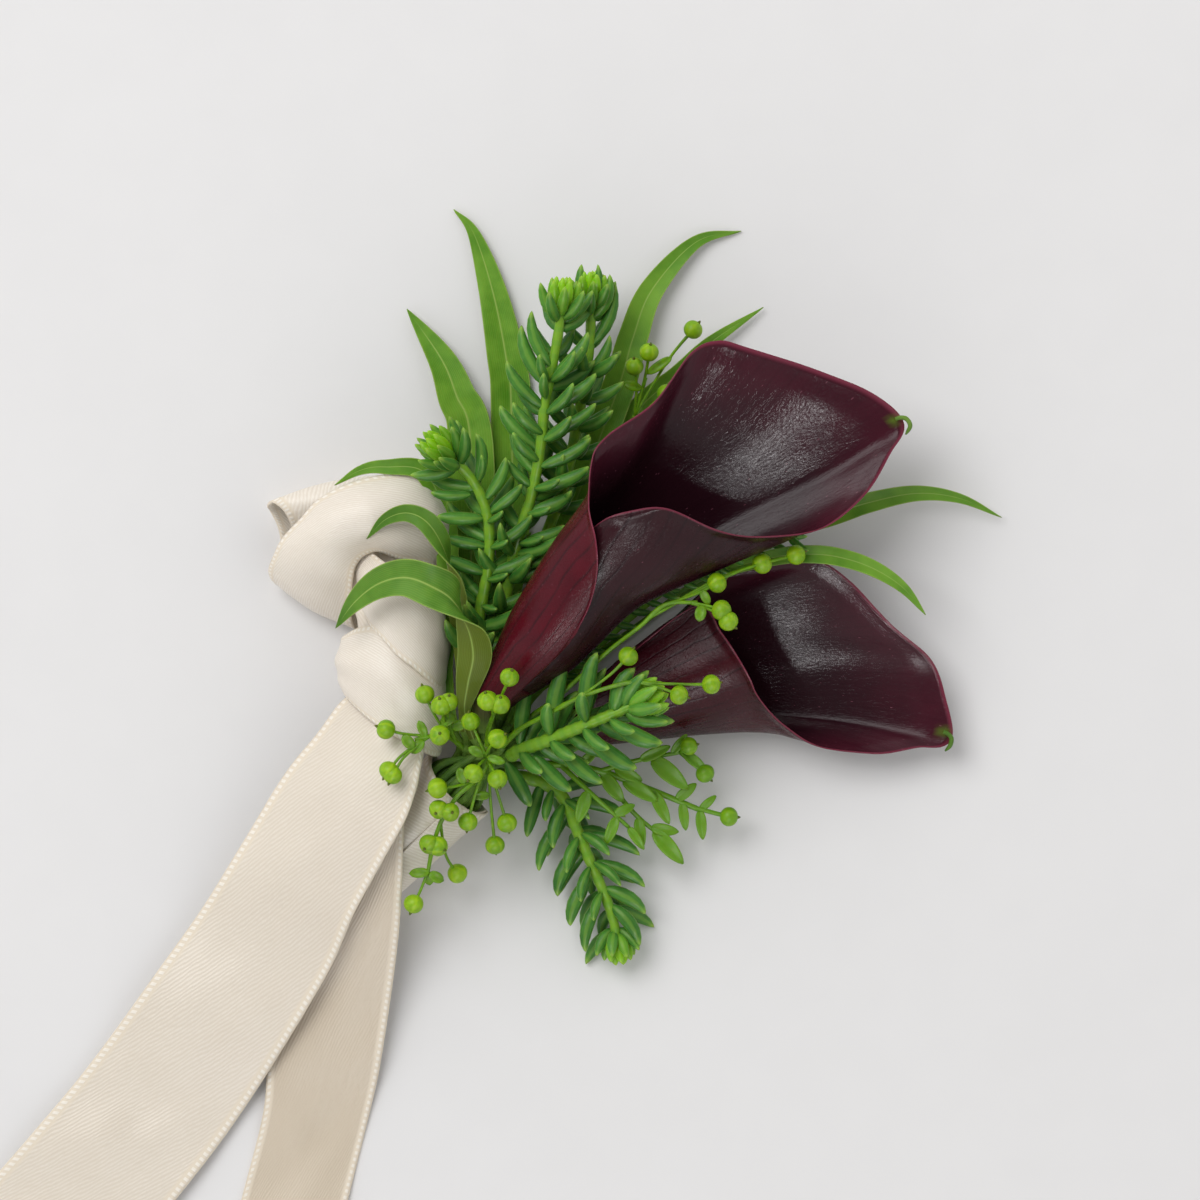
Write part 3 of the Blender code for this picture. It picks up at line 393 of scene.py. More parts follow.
        first = self.grid(ring, texture, wrap=True, inner=inner[None, :], tone=marked(tone), tip=marked(tip))
        width = 2 * m + 2
        k = np.arange(m - 1)
        for row in (0, n - 1):
            base = first + row * width
            a, b = base + k, base + k + 1
            strip = np.stack([a, b, base + 2 * m - 1 - k, base + 2 * m - k], axis=1)
            corner = np.stack([uv[row, k], uv[row, k + 1], uv[row, k + 1], uv[row, k]], axis=1)
            self.faces.append(strip)
            self.corners.append(corner)
            for ends, spot in (((m - 1, m, m + 1), -1), ((0, 2 * m, 2 * m + 1), 0)):
                self.faces.append(base + np.array([ends]))
                self.corners.append(np.broadcast_to(uv[row, spot], (1, 3, 2)))

    def as_stalk(self) -> None:
        """Sets the inner mark of every point so far to 0, as on a stalk."""
        self.marks["inner"] = [mark * 0 for mark in self.marks["inner"]]

    def merge(self, other: "Surface") -> None:
        """Adds the points, faces and marks of another surface.

        Args:
            other: the surface to add.
        """
        self.points += other.points
        self.faces += [block + self.count for block in other.faces]
        self.corners += other.corners
        for key, stored in self.marks.items():
            stored.extend(other.marks[key])
        self.count += other.count

    def build(self, name: str, look: Material, slot: Slot, nodes: tuple[str, ...] = ()) -> Object:
        """Makes the piece, lets it ride on the one body and hides the CAD nodes that it replaces.

        Args:
            name: the piece's name.
            look: its material.
            slot: a material slot; not used.
            nodes: the CAD nodes that it replaces.

        Returns:
            The new object, with its normals outwards and smooth shading.
        """
        mesh = bpy.data.meshes.new(name)
        faces = [face for block in self.faces for face in block.tolist()]
        places = np.concatenate(self.points)
        places[:, 2] = np.maximum(places[:, 2], 0.0)
        mesh.from_pydata((MM * places).tolist(), [], faces)
        layer = mesh.uv_layers.new(name="UVMap")
        corners = np.concatenate([c.reshape(-1, 2) for c in self.corners]).astype(np.float32)
        layer.data.foreach_set("uv", corners.ravel())
        for key, stored in self.marks.items():
            mark = mesh.attributes.new(key, "FLOAT", "POINT")
            mark.data.foreach_set("value", np.concatenate(stored).astype(np.float32))
        work = bmesh.new()
        work.from_mesh(mesh)
        bmesh.ops.recalc_face_normals(work, faces=work.faces)
        work.to_mesh(mesh)
        work.free()
        mesh.shade_smooth()
        mesh.materials.append(look)
        made = linked(name, mesh)
        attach(made, "root")
        if nodes:
            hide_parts(*nodes)
        LOG.info("%s: %d points, %d faces", name, len(mesh.vertices), len(mesh.polygons))
        return made


# Shader nodes


def screen(red: float, green: float, blue: float) -> Colour:
    """A colour by the usual screen curve.

    Args:
        red: the red screen value, between 0 and 255.
        green: the green one.
        blue: the blue one.

    Returns:
        The linear colour, opaque.
    """
    c = np.array((red, green, blue)) / 255
    linear = np.where(c <= 0.04045, c / 12.92, ((c + 0.055) / 1.055) ** 2.4)
    return (float(linear[0]), float(linear[1]), float(linear[2]), 1.0)


class Tree:
    """A node tree with short ways to add and link its nodes."""

    def __init__(self, tree: NodeTree) -> None:
        """Keeps the tree."""
        self.tree = tree

    def node(self, kind: str, inputs: dict | None = None, **settings) -> bpy.types.Node:
        """Adds a node.

        Args:
            kind: Blender's name of the node type.
            inputs: values or sockets by the input's name or number.
            settings: the node's own properties.

        Returns:
            The new node.
        """
        made = self.tree.nodes.new(kind)
        for key, value in settings.items():
            setattr(made, key, value)
        for key, value in (inputs or {}).items():
            if isinstance(value, NodeSocket):
                self.tree.links.new(value, made.inputs[key])
            elif value is not None:
                made.inputs[key].default_value = value
        return made

    def math(self, operation: str, a: Value, b: Value | None = None, c: Value | None = None) -> NodeSocket:
        """The result of a Math node."""
        return self.node("ShaderNodeMath", {0: a, 1: b, 2: c}, operation=operation).outputs[0]

    def times(self, a: Value, b: Value) -> NodeSocket:
        """The product of two values."""
        return self.math("MULTIPLY", a, b)

    def scaled(self, a: Value, factor: Value, offset: Value) -> NodeSocket:
        """A value times a factor, plus an offset."""
        return self.math("MULTIPLY_ADD", a, factor, offset)

    def plus(self, a: Value, b: Value) -> NodeSocket:
        """The sum of two values."""
        return self.math("ADD", a, b)

    def minus(self, a: Value, b: Value) -> NodeSocket:
        """The first value less the second one."""
        return self.math("SUBTRACT", a, b)

    def apart(self, a: Value, b: Value) -> NodeSocket:
        """The distance between two values."""
        return self.math("ABSOLUTE", self.minus(a, b))

    def span(
        self, value: Value, low: float, high: float, to_low: float = 0.0, to_high: float = 1.0
    ) -> NodeSocket:
        """The value carried smoothly from one range to another, held inside it."""
        return self.node(
            "ShaderNodeMapRange",
            {"Value": value, "From Min": low, "From Max": high, "To Min": to_low, "To Max": to_high},
            interpolation_type="SMOOTHSTEP",
        ).outputs["Result"]

    def mix(self, factor: Value, a: NodeSocket | Colour, b: NodeSocket | Colour) -> NodeSocket:
        """A colour between two.

        Args:
            factor: how much of the second one it has.
            a: the first colour.
            b: the second colour.

        Returns:
            The mixed colour.
        """
        made = self.node("ShaderNodeMix", data_type="RGBA", clamp_factor=True)
        sockets = {s.identifier: s for s in made.inputs}
        names = (("Factor_Float", factor), ("A_Color", a), ("B_Color", b))
        for name, value in names:
            if isinstance(value, NodeSocket):
                self.tree.links.new(value, sockets[name])
            else:
                sockets[name].default_value = value
        return next(s for s in made.outputs if s.identifier == "Result_Color")

    def over(self, ground: NodeSocket, mask: Value, share: float, colour: NodeSocket | Colour) -> NodeSocket:
        """The ground with a share of a mask's colour laid over it."""
        return self.mix(self.times(mask, share), ground, colour)

    def noise(
        self, vector: NodeSocket, scale: Value, detail: float = 3.0, rough: float = 0.5, bent: float = 0.0
    ) -> NodeSocket:
        """The value of a noise texture."""
        return self.node(
            "ShaderNodeTexNoise",
            {"Vector": vector, "Scale": scale, "Detail": detail, "Roughness": rough, "Distortion": bent},
        ).outputs["Fac"]

    def split_uv(self) -> tuple[NodeSocket, NodeSocket]:
        """The piece's two texture places."""
        uv = self.node("ShaderNodeUVMap", uv_map="UVMap").outputs[0]
        apart = self.node("ShaderNodeSeparateXYZ", {0: uv})
        return apart.outputs[0], apart.outputs[1]

    def place(self) -> NodeSocket:
        """The object's own coordinates."""
        return self.node("ShaderNodeTexCoord").outputs["Object"]

    def mark(self, name: str) -> NodeSocket:
        """One of the piece's marks."""
        return self.node("ShaderNodeAttribute", attribute_name=name).outputs["Fac"]

    def vector(self, x: Value, y: Value, z: Value = 0.0) -> NodeSocket:
        """A vector of three values."""
        return self.node("ShaderNodeCombineXYZ", {0: x, 1: y, 2: z}).outputs[0]

    def bump(self, height: NodeSocket, distance: float, strength: float = 1.0) -> NodeSocket:
        """A normal that follows a height, with the given depth in metres."""
        return self.node(
            "ShaderNodeBump",
            {"Height": height, "Distance": distance, "Strength": strength},
        ).outputs[0]

    def group(self, made: NodeTree, inputs: dict) -> bpy.types.Node:
        """Places a node group with its values."""
        return self.node("ShaderNodeGroup", inputs, node_tree=made)


class Groups:
    """The node groups that several materials share, each made once."""

    def __init__(self) -> None:
        """Makes the four groups."""
        self.veins = self._veins()
        self.mottle = self._mottle()
        self.specks = self._specks()
        self.crinkle = self._crinkle()

    @staticmethod
    def _new(name: str, inputs: dict[str, float | None], outputs: tuple[str, ...]) -> tuple:
        """Starts a group.

        Args:
            name: the group's name.
            inputs: each input's value, or None for a vector.
            outputs: the names of its values.

        Returns:
            The group, its tree helper, its input node and its output node.
        """
        made = bpy.data.node_groups.new(name, "ShaderNodeTree")
        for key, value in inputs.items():
            kind = "NodeSocketVector" if value is None else "NodeSocketFloat"
            socket = made.interface.new_socket(name=key, in_out="INPUT", socket_type=kind)
            if value is not None:
                socket.default_value = value
        for key in outputs:
            made.interface.new_socket(name=key, in_out="OUTPUT", socket_type="NodeSocketFloat")
        tree = Tree(made)
        return made, tree, tree.node("NodeGroupInput").outputs, tree.node("NodeGroupOutput").inputs

    def _veins(self) -> NodeTree:
        """Fine lines that run along a blade: a sharpened wave across it, bent by slow noise.

        Returns:
            The group.
        """
        made, tree, given, result = self._new(
            "long_veins",
            {"Across": 0.0, "Along": 0.0, "Count": 40.0, "Waver": 0.3, "Sharpness": 5.0},
            ("Lines",),
        )
        slow = tree.noise(tree.vector(tree.times(given["Across"], 6.0), given["Along"]), 3.0, 2.0)
        bend = tree.times(tree.minus(slow, 0.5), given["Waver"])
        turns = tree.plus(tree.times(given["Across"], given["Count"]), bend)
        wave = tree.math("COSINE", tree.times(turns, 2 * math.pi))
        raised = tree.scaled(wave, 0.5, 0.5)
        lines = tree.math("POWER", raised, given["Sharpness"])
        tree.tree.links.new(lines, result["Lines"])
        return made

    def _mottle(self) -> NodeTree:
        """Soft blotches: the mean of a coarse noise and one four times finer.

        Returns:
            The group.
        """
        made, tree, given, result = self._new("mottle", {"Vector": None, "Scale": 60.0}, ("Value",))
        coarse = tree.noise(given["Vector"], given["Scale"], 2.0)
        fine = tree.noise(given["Vector"], tree.times(given["Scale"], 4.0), 3.0)
        both = tree.scaled(fine, 0.4, tree.times(coarse, 0.6))
        tree.tree.links.new(tree.span(both, 0.3, 0.7), result["Value"])
        return made

    def _specks(self) -> NodeTree:
        """Small dots: the cells of a Voronoi pattern whose own value is high, near their centres.

        Returns:
            The group.
        """
        made, tree, given, result = self._new(
            "fine_specks", {"Vector": None, "Scale": 900.0, "Share": 0.12, "Radius": 0.25}, ("Mask",)
        )
        cells = tree.node("ShaderNodeTexVoronoi", {"Vector": given["Vector"], "Scale": given["Scale"]})
        own = tree.node("ShaderNodeSeparateColor", {0: cells.outputs["Color"]}).outputs[0]
        near = tree.math("LESS_THAN", cells.outputs["Distance"], given["Radius"])
        chosen = tree.math("LESS_THAN", own, given["Share"])
        tree.tree.links.new(tree.times(near, chosen), result["Mask"])
        return made

    def _crinkle(self) -> NodeTree:
        """A skin's fine wrinkles: the ridges of a noise, pulled longer along one direction.

        Returns:
            The group.
        """
        made, tree, given, result = self._new(
            "skin_crinkle", {"Across": 0.0, "Along": 0.0, "Density": 60.0, "Length": 0.3}, ("Height",)
        )
        x = tree.times(given["Across"], given["Density"])
        y = tree.times(tree.times(given["Along"], given["Density"]), given["Length"])
        ridges = tree.noise(tree.vector(x, y), 1.0, 4.0, 0.6, 0.4)
        folded = tree.apart(ridges, 0.5)
        tree.tree.links.new(tree.times(folded, 2.0), result["Height"])
        return made


class Skin(Tree):
    """A material's node tree, with short ways to place the shared groups."""

    def __init__(self, tree: NodeTree, groups: Groups) -> None:
        """Keeps the tree and the groups."""
        super().__init__(tree)
        self.groups = groups

    def mottle(self, scale: float) -> NodeSocket:
        """Soft blotches in the object's own coordinates."""
        return self.group(self.groups.mottle, {"Vector": self.place(), "Scale": scale}).outputs[0]

    def veins(
        self, across: Value, along: Value, count: float, waver: float, sharpness: float
    ) -> NodeSocket:
        """Fine lines that run along a blade."""
        inputs = {"Across": across, "Along": along, "Count": count, "Waver": waver, "Sharpness": sharpness}
        return self.group(self.groups.veins, inputs).outputs[0]

    def specks(self, vector: NodeSocket, scale: float, share: float, radius: float) -> NodeSocket:
        """Small dots."""
        inputs = {"Vector": vector, "Scale": scale, "Share": share, "Radius": radius}
        return self.group(self.groups.specks, inputs).outputs[0]

    def crinkle(self, across: Value, along: Value, density: float, length: float) -> NodeSocket:
        """A skin's fine wrinkles."""
        inputs = {"Across": across, "Along": along, "Density": density, "Length": length}
        return self.group(self.groups.crinkle, inputs).outputs[0]


@dataclass(frozen=True)
class Finish:
    """A material: a Principled shader with constant values and values linked from a tree."""

    name: str
    constants: ClassVar[dict[str, float]] = {}

    def sockets(self, t: Skin) -> dict[str, NodeSocket]:
        """The linked values by input name, which each finish has of its own."""
        raise NotImplementedError

    def build(self, groups: Groups) -> Material:
        """Makes the material.

        Args:
            groups: the shared node groups.

        Returns:
            The material.
        """
        made = bpy.data.materials.new(self.name)
        made.use_nodes = True
        shader = made.node_tree.nodes["Principled BSDF"]
        for key, value in self.constants.items():
            shader.inputs[key].default_value = value
        for key, socket in self.sockets(Skin(made.node_tree, groups)).items():
            made.node_tree.links.new(socket, shader.inputs[key])
        return made


@dataclass(frozen=True)
class PetalFinish(Finish):
    """The dark waxy skin of a spathe: plum inside, wine outside, long veins, a throat darkened by pigment and
    painted shade, and a painted pink highlight on the rim.
    """

    name: str = "spathe_skin"
    throat_pigment_and_shade: Colour = screen(8, 3, 6)
    plum: Colour = screen(44, 18, 26)
    inner_wine: Colour = screen(74, 24, 38)
    outer_wine: Colour = screen(84, 8, 25)
    outer_dark: Colour = screen(50, 18, 25)
    vein: Colour = screen(20, 4, 10)
    rim: Colour = screen(150, 62, 84)
    speck: Colour = screen(158, 96, 112)
    green: Colour = screen(92, 122, 34)
    constants: ClassVar[dict[str, float]] = {"Specular IOR Level": 0.2}

    def sockets(self, t: Skin) -> dict[str, NodeSocket]:
        """Colour, roughness and normal; u runs round the margin and v from the foot to the margin.

        Args:
            t: the material's tree.

        Returns:
            The sockets by input name.
        """
        u, v = t.split_uv()
        place, inner, tip = t.place(), t.mark("inner"), t.mark("tip")
        blotch = t.mottle(70.0)
        veins = t.veins(u, v, 62.0, 1.3, 12.0)
        broken = t.noise(t.vector(t.times(u, 40.0), t.times(v, 3.0)), 1.0, 3.0)
        veins = t.times(veins, t.span(broken, 0.3, 0.62, 0.25, 1.0))
        dark = t.math("MAXIMUM", t.span(u, 0.16, 0.5), t.times(t.mark("tone"), 0.62))
        outside = t.mix(dark, self.outer_wine, self.outer_dark)
        outside = t.over(outside, blotch, 0.35, self.vein)
        outside = t.over(outside, veins, 0.6, self.vein)
        # Darker towards the throat: partly the spathe's own pigment, partly painted shade for the deep funnel.
        inside = t.mix(t.span(v, 0.4, 0.82), self.throat_pigment_and_shade, self.plum)
        inside = t.over(inside, t.span(v, 0.8, 1.0), 0.75, self.inner_wine)
        inside = t.over(inside, blotch, 0.3, self.vein)
        inside = t.over(inside, veins, 0.12, self.vein)
        skin = t.mix(inner, outside, inside)
        dashes = t.specks(t.vector(t.times(u, 1.6), t.times(v, 0.42)), 210.0, 0.05, 0.2)
        skin = t.over(skin, dashes, 0.34, self.speck)
        # Painted highlight: a thin pinkish line along the margin stands for light catching the rounded rim.
        edge = t.times(t.span(v, 0.991, 0.999), 0.5)
        skin = t.mix(edge, skin, self.rim)
        skin = t.over(skin, tip, 0.9, self.green)
        crinkle = t.crinkle(u, v, 210.0, 0.2)
        grain = t.noise(place, 1500.0, 3.0)
        height = t.plus(crinkle, t.times(grain, 0.5))
        outer = t.minus(1.0, inner)
        height = t.minus(height, t.times(t.times(veins, outer), 0.5))
        rough = t.scaled(grain, 0.12, t.span(blotch, 0.0, 1.0, 0.09, 0.14))
        rough = t.scaled(outer, 0.1, rough)
        return {"Base Color": skin, "Roughness": rough, "Normal": t.bump(height, 0.000055, 0.8)}


@dataclass(frozen=True)
class BladeFinish(Finish):
    """A narrow leaf: fresh green above, paler below, with a light midrib, fine veins and edge."""

    above: Colour = screen(80, 134, 26)
    light: Colour = screen(112, 160, 44)
    below: Colour = screen(96, 112, 30)
    rib: Colour = screen(158, 184, 92)
    constants: ClassVar[dict[str, float]] = {
        "Specular IOR Level": 0.18, "Subsurface Weight": 0.08, "Subsurface Scale": 0.001,
    }

    def sockets(self, t: Skin) -> dict[str, NodeSocket]:
        """Colour, roughness and normal; u runs across the leaf and v along it.

        Args:
            t: the material's tree.

        Returns:
            The sockets by input name.
        """
        u, v = t.split_uv()
        place, inner = t.place(), t.mark("inner")
        blotch = t.mottle(90.0)
        veins = t.veins(u, v, 18.0, 0.15, 3.0)
        top = t.mix(blotch, self.above, self.light)
        face = t.mix(inner, self.below, top)
        face = t.over(face, veins, 0.13, self.rib)
        off = t.apart(u, 0.5)
        rib = t.times(t.span(off, 0.0, 0.045, 1.0, 0.0), t.span(v, 0.9, 1.0, 0.8, 0.0))
        face = t.mix(rib, face, self.rib)
        edge = t.times(t.span(off, 0.465, 0.497), 0.55)
        face = t.mix(edge, face, self.rib)
        grain = t.noise(place, 2400.0, 2.0)
        height = t.scaled(veins, 1.0, t.times(grain, 0.35))
        rough = t.scaled(blotch, 0.12, 0.36)
        return {"Base Color": face, "Roughness": rough, "Normal": t.bump(height, 0.00002, 0.7)}


@dataclass(frozen=True)
class FleshyFinish(Finish):
    """Plump leaves in blue-green or lime, with a painted highlight along the middle of the top and lighter
    pointed tips.
    """

    deep: Colour = screen(36, 94, 34)
    mid: Colour = screen(86, 148, 54)
    tip: Colour = screen(172, 208, 82)
    young: Colour = screen(134, 194, 12)
    stem: Colour = screen(122, 168, 44)
    constants: ClassVar[dict[str, float]] = {
        "Specular IOR Level": 0.2, "Subsurface Weight": 0.12, "Subsurface Scale": 0.0015,
    }

    def sockets(self, t: Skin) -> dict[str, NodeSocket]:
        """Colour, roughness and normal; v runs along a leaf, and a young leaf has a tone above 0.5.

        Args:
            t: the material's tree.

        Returns:
            The sockets by input name.
        """
        u, v = t.split_uv()
        place, inner, tone, tip = t.place(), t.mark("inner"), t.mark("tone"), t.mark("tip")
        blotch = t.mottle(160.0)
        leaf = t.mix(t.scaled(blotch, 0.5, t.times(tone, 0.5)), self.deep, self.mid)
        leaf = t.mix(t.span(tone, 0.5, 1.0), leaf, self.young)
        side = t.apart(t.math("FRACT", t.scaled(u, 2.0, 0.5)), 0.5)
        leaf = t.mix(t.span(side, 0.0, 0.14, 0.3, 0.0), leaf, self.tip)
        # Painted highlight: a pale streak along the middle of each leaf's top.
        top_highlight = t.span(t.apart(u, 0.25), 0.0, 0.1, 0.2, 0.0)
        leaf = t.mix(top_highlight, leaf, self.tip)
        lines = t.veins(u, v, 14.0, 0.5, 2.0)
        leaf = t.over(leaf, lines, 0.05, self.tip)
        leaf = t.over(leaf, t.span(tip, 0.8, 1.0), 0.5, self.tip)
        rings = t.math("SINE", t.times(v, 2.6))
        stem = t.mix(t.span(rings, -0.2, 0.9, 0.0, 0.3), self.stem, self.mid)
        colour = t.mix(inner, stem, leaf)
        grain = t.noise(place, 1800.0, 3.0)
        rough = t.scaled(grain, 0.2, 0.22)
        return {"Base Color": colour, "Roughness": rough, "Normal": t.bump(grain, 0.00003, 0.6)}


@dataclass(frozen=True)
class BerryFinish(Finish):
    """Lime berries on green stalks, with paler meridians and a dark mark at the nib."""

    name: str = "berry_skin"
    skin: Colour = screen(110, 160, 0)
    pale: Colour = screen(168, 204, 28)
    stalk: Colour = screen(88, 130, 24)
    nib: Colour = screen(70, 70, 16)
    constants: ClassVar[dict[str, float]] = {
        "Specular IOR Level": 0.3, "Subsurface Weight": 0.15, "Subsurface Scale": 0.0015,
    }

    def sockets(self, t: Skin) -> dict[str, NodeSocket]:
        """Colour, roughness and normal; u runs round a berry, and the inner mark is 0 on a stalk.

        Args:
            t: the material's tree.

        Returns:
            The sockets by input name.
        """
        u, v = t.split_uv()
        place, inner, tone, tip = t.place(), t.mark("inner"), t.mark("tone"), t.mark("tip")
        blotch = t.mottle(260.0)
        lines = t.veins(u, v, 4.0, 0.3, 9.0)
        skin = t.mix(t.times(blotch, 0.6), self.skin, self.pale)
        skin = t.over(skin, lines, 0.55, self.pale)
        skin = t.over(skin, tone, 0.35, self.stalk)
        skin = t.over(skin, t.span(tip, 0.55, 0.95), 0.8, self.nib)
        stalk = t.mix(blotch, self.stalk, self.skin)
        grain = t.noise(place, 2600.0, 3.0)
        rough = t.scaled(grain, 0.2, 0.3)
        colour = t.mix(inner, stalk, skin)
        return {"Base Color": colour, "Roughness": rough, "Normal": t.bump(grain, 0.00002, 0.7)}


@dataclass(frozen=True)
class StemFinish(Finish):
    """A smooth green stem with fine lines along it, darker wine where it meets a bloom."""

    green: Colour = screen(66, 108, 30)
    pale: Colour = screen(116, 150, 58)
    flushed: Colour = screen(62, 22, 28)
    constants: ClassVar[dict[str, float]] = {"Specular IOR Level": 0.2}

    def sockets(self, t: Skin) -> dict[str, NodeSocket]:
        """Colour, roughness and normal; the tip mark says how flushed the stem is.

        Args:
            t: the material's tree.

        Returns:
            The sockets by input name.
        """
        u, v = t.split_uv()
        place, tip = t.place(), t.mark("tip")
        blotch = t.mottle(120.0)
        lines = t.veins(u, t.times(v, 0.05), 16.0, 0.4, 2.0)
        skin = t.mix(blotch, self.green, self.pale)
        skin = t.over(skin, lines, 0.25, self.pale)
        skin = t.over(skin, tip, 0.85, self.flushed)
        height = t.scaled(lines, 0.6, t.noise(place, 1500.0, 2.0))
        rough = t.scaled(blotch, 0.12, 0.4)
        return {"Base Color": skin, "Roughness": rough, "Normal": t.bump(height, 0.0001, 0.7)}


@dataclass(frozen=True)
class SatinFinish(Finish):
    """Ivory satin: oblique ribs of a fine twill, a tan selvage with light stitches, a soft gloss and painted
    shade where the tone mark is high.
    """

    body: Colour = screen(240, 233, 222)
    shade: Colour = screen(203, 188, 167)
    # Painted shade: the colour that the tone mark darkens the cloth towards.
    folded: Colour = screen(196, 180, 156)
    selvage: Colour = screen(224, 211, 190)
    dash: Colour = screen(240, 233, 221)
    rib_slant: float = math.radians(24)
    rib_pitch: float = 0.64
    stitch_pitch: float = 1.15
    constants: ClassVar[dict[str, float]] = {
        "Specular IOR Level": 0.9, "Sheen Weight": 0.1, "Sheen Roughness": 0.4,
    }

    def sockets(self, t: Skin) -> dict[str, NodeSocket]:
        """Colour, roughness and normal; u and v are millimetres across and along the ribbon.

        Args:
            t: the material's tree.

        Returns:
            The sockets by input name.
        """
        u, v = t.split_uv()
        tone = t.mark("tone")
        slow = t.noise(t.vector(t.times(u, 0.5), t.times(v, 0.16)), 1.0, 2.0)
        skew = t.scaled(u, math.cos(self.rib_slant), t.times(v, math.sin(self.rib_slant)))
        skew = t.plus(skew, t.times(slow, 0.9))
        rib = t.math("SINE", t.times(skew, 2 * math.pi / self.rib_pitch))
        rib = t.scaled(rib, 0.5, 0.5)
        thread = t.noise(t.vector(t.times(u, 5.0), t.times(v, 0.8)), 1.0, 3.0, 0.6)
        broken = t.times(rib, t.span(thread, 0.25, 0.75, 0.45, 1.0))
        cloth = t.mix(t.scaled(broken, -0.5, 0.5), self.body, self.shade)
        blotch = t.mottle(40.0)
        cloth = t.over(cloth, blotch, 0.14, self.shade)
        # Painted shade: the tone mark darkens low and shadowed cloth towards the folded colour.
        cloth = t.over(cloth, tone, 0.6, self.folded)
        from_edge = t.minus(0.5 * RIBBON_WIDTH, t.apart(u, 0.5 * RIBBON_WIDTH))
        border = t.span(from_edge, 1.35, 1.6, 1.0, 0.0)
        seam = t.times(t.span(from_edge, 1.35, 1.55), t.span(from_edge, 1.6, 1.9, 1.0, 0.0))
        slanted = t.plus(v, t.times(from_edge, 0.25))
        lace = t.math("SINE", t.times(slanted, 2 * math.pi / self.stitch_pitch))
        dash = t.times(t.span(lace, -0.6, 0.5), t.span(from_edge, 0.1, 0.35))
        dash = t.times(dash, t.span(from_edge, 0.95, 1.15, 1.0, 0.0))
        hem = t.mix(dash, self.selvage, self.dash)
        cloth = t.mix(t.times(border, 0.85), cloth, hem)
        cloth = t.over(cloth, seam, 0.45, self.selvage)
        height = t.times(broken, t.minus(1.0, border))
        height = t.scaled(dash, 1.2, height)
        height = t.scaled(thread, 0.1, height)
        folds = t.noise(t.vector(t.times(u, 0.11), t.times(v, 0.07)), 1.0, 2.0)
        height = t.scaled(folds, 4.0, height)
        rough = t.scaled(thread, 0.1, t.scaled(border, 0.2, 0.38))
        return {"Base Color": cloth, "Roughness": rough, "Normal": t.bump(height, 0.000032, 1.0)}


@dataclass(frozen=True)
class GrainFinish(Finish):
    """A plain matte finish of two colours, mixed by soft blotches, for the spadix."""

    first: Colour
    second: Colour
    scale: float = 300.0
    rough: float = 0.6

    def sockets(self, t: Skin) -> dict[str, NodeSocket]:
        """Colour, roughness and normal of the blotches.

        Args:
            t: the material's tree.

        Returns:
            The sockets by input name.
        """
        place = t.place()
        blotch = t.mottle(self.scale)
        grain = t.noise(place, 8 * self.scale, 2.0)
        rough = t.scaled(grain, 0.2, self.rough - 0.1)
        colour = t.mix(blotch, self.first, self.second)
        return {"Base Color": colour, "Roughness": rough, "Normal": t.bump(grain, 0.0001, 0.6)}


@dataclass(frozen=True)
class PaperFinish(Finish):
    """The floor's pale paper, with a faint grain."""

    name: str = "paper"
    tone: Colour = screen(231, 230, 230)
    darker: float = 0.985
    constants: ClassVar[dict[str, float]] = {"Specular IOR Level": 0.1}

    def sockets(self, t: Skin) -> dict[str, NodeSocket]:
        """Colour and roughness of the paper.

        Args:
            t: the material's tree.

        Returns:
            The sockets by input name.
        """
        blotch = t.mottle(30.0)
        darker = tuple(self.darker * c for c in self.tone[:3]) + (1.0,)
        return {"Base Color": t.mix(blotch, darker, self.tone), "Roughness": t.span(blotch, 0, 1, 0.85, 0.9)}


# Blooms

UPPER_TUBE = (
    (8.6, 17.2, 15, 2.6), (14.2, 23.5, 17.5, 5.2), (18, 27.7, 19.5, 7), (21.9, 32.4, 21.5, 7.9),
    (27.7, 39.4, 24, 8.9), (35, 46.4, 26, 10.5), (40.3, 54.3, 26, 13),
)
UPPER_RIM = (
    (19.2, 24.5, 25, 60, 0.26), (22.6, 28.3, 28.5, 62, 0.37), (25.9, 33.4, 31.5, 69, 0.48),
    (27.6, 39.5, 34, 87, 0.62), (27.6, 45.5, 35.5, 116, 0.72), (26.4, 51.3, 35, 150, 0.82),
    (26.9, 58.4, 34, 175, 0.93), (29.2, 63, 33.5, 190, 1), (38.1, 69.6, 32.5, 205, 1),
    (44.6, 78, 30.4, 226, 1), (48.8, 80, 29.4, 233, 1), (53.4, 79, 28.2, 239, 1),
    (66.7, 74.7, 24, 254, 1), (75.6, 71, 22, 264, 1), (81, 66.1, 21, 270, 1), (78.9, 61.2, 22, 276, 1),
    (74.5, 54.1, 23.5, 284, 1), (66.7, 48.1, 26.5, 296, 1), (57.2, 46.5, 29.5, 318, 1),
    (48.3, 47.6, 33, 352, 1), (39.4, 51.1, 36, 400, 0.94), (33.2, 50.6, 36.5, 425, 0.86),
    (28.2, 48.5, 34.8, 450, 0.76), (24.5, 43.5, 31.5, 462, 0.62), (20.5, 36.5, 27, 472, 0.45),
    (16, 29.5, 22.5, 480, 0.28),
)
UPPER_HOOK = ((79.6, 66.6, 21.4), (80.6, 66.9, 21.4), (81.6, 66.6, 21.4), (82.2, 65.4, 21.2), (81.4, 63.9, 21))
LOWER_HOOK = ((88.2, 11.9, 7.4), (88.9, 11.6, 7.4), (89.6, 10.8, 7.3), (89.4, 9.5, 7.2), (88.5, 8.5, 7))
LOWER_TUBE = (
    (16.6, 11.6, 8, 2.4), (28, 14.9, 7, 5), (36.8, 18.4, 6.8, 7.2), (45.5, 21.9, 7, 8.7),
    (54.3, 25.4, 7.2, 10.2), (61.3, 27.1, 7.6, 11.6),
)
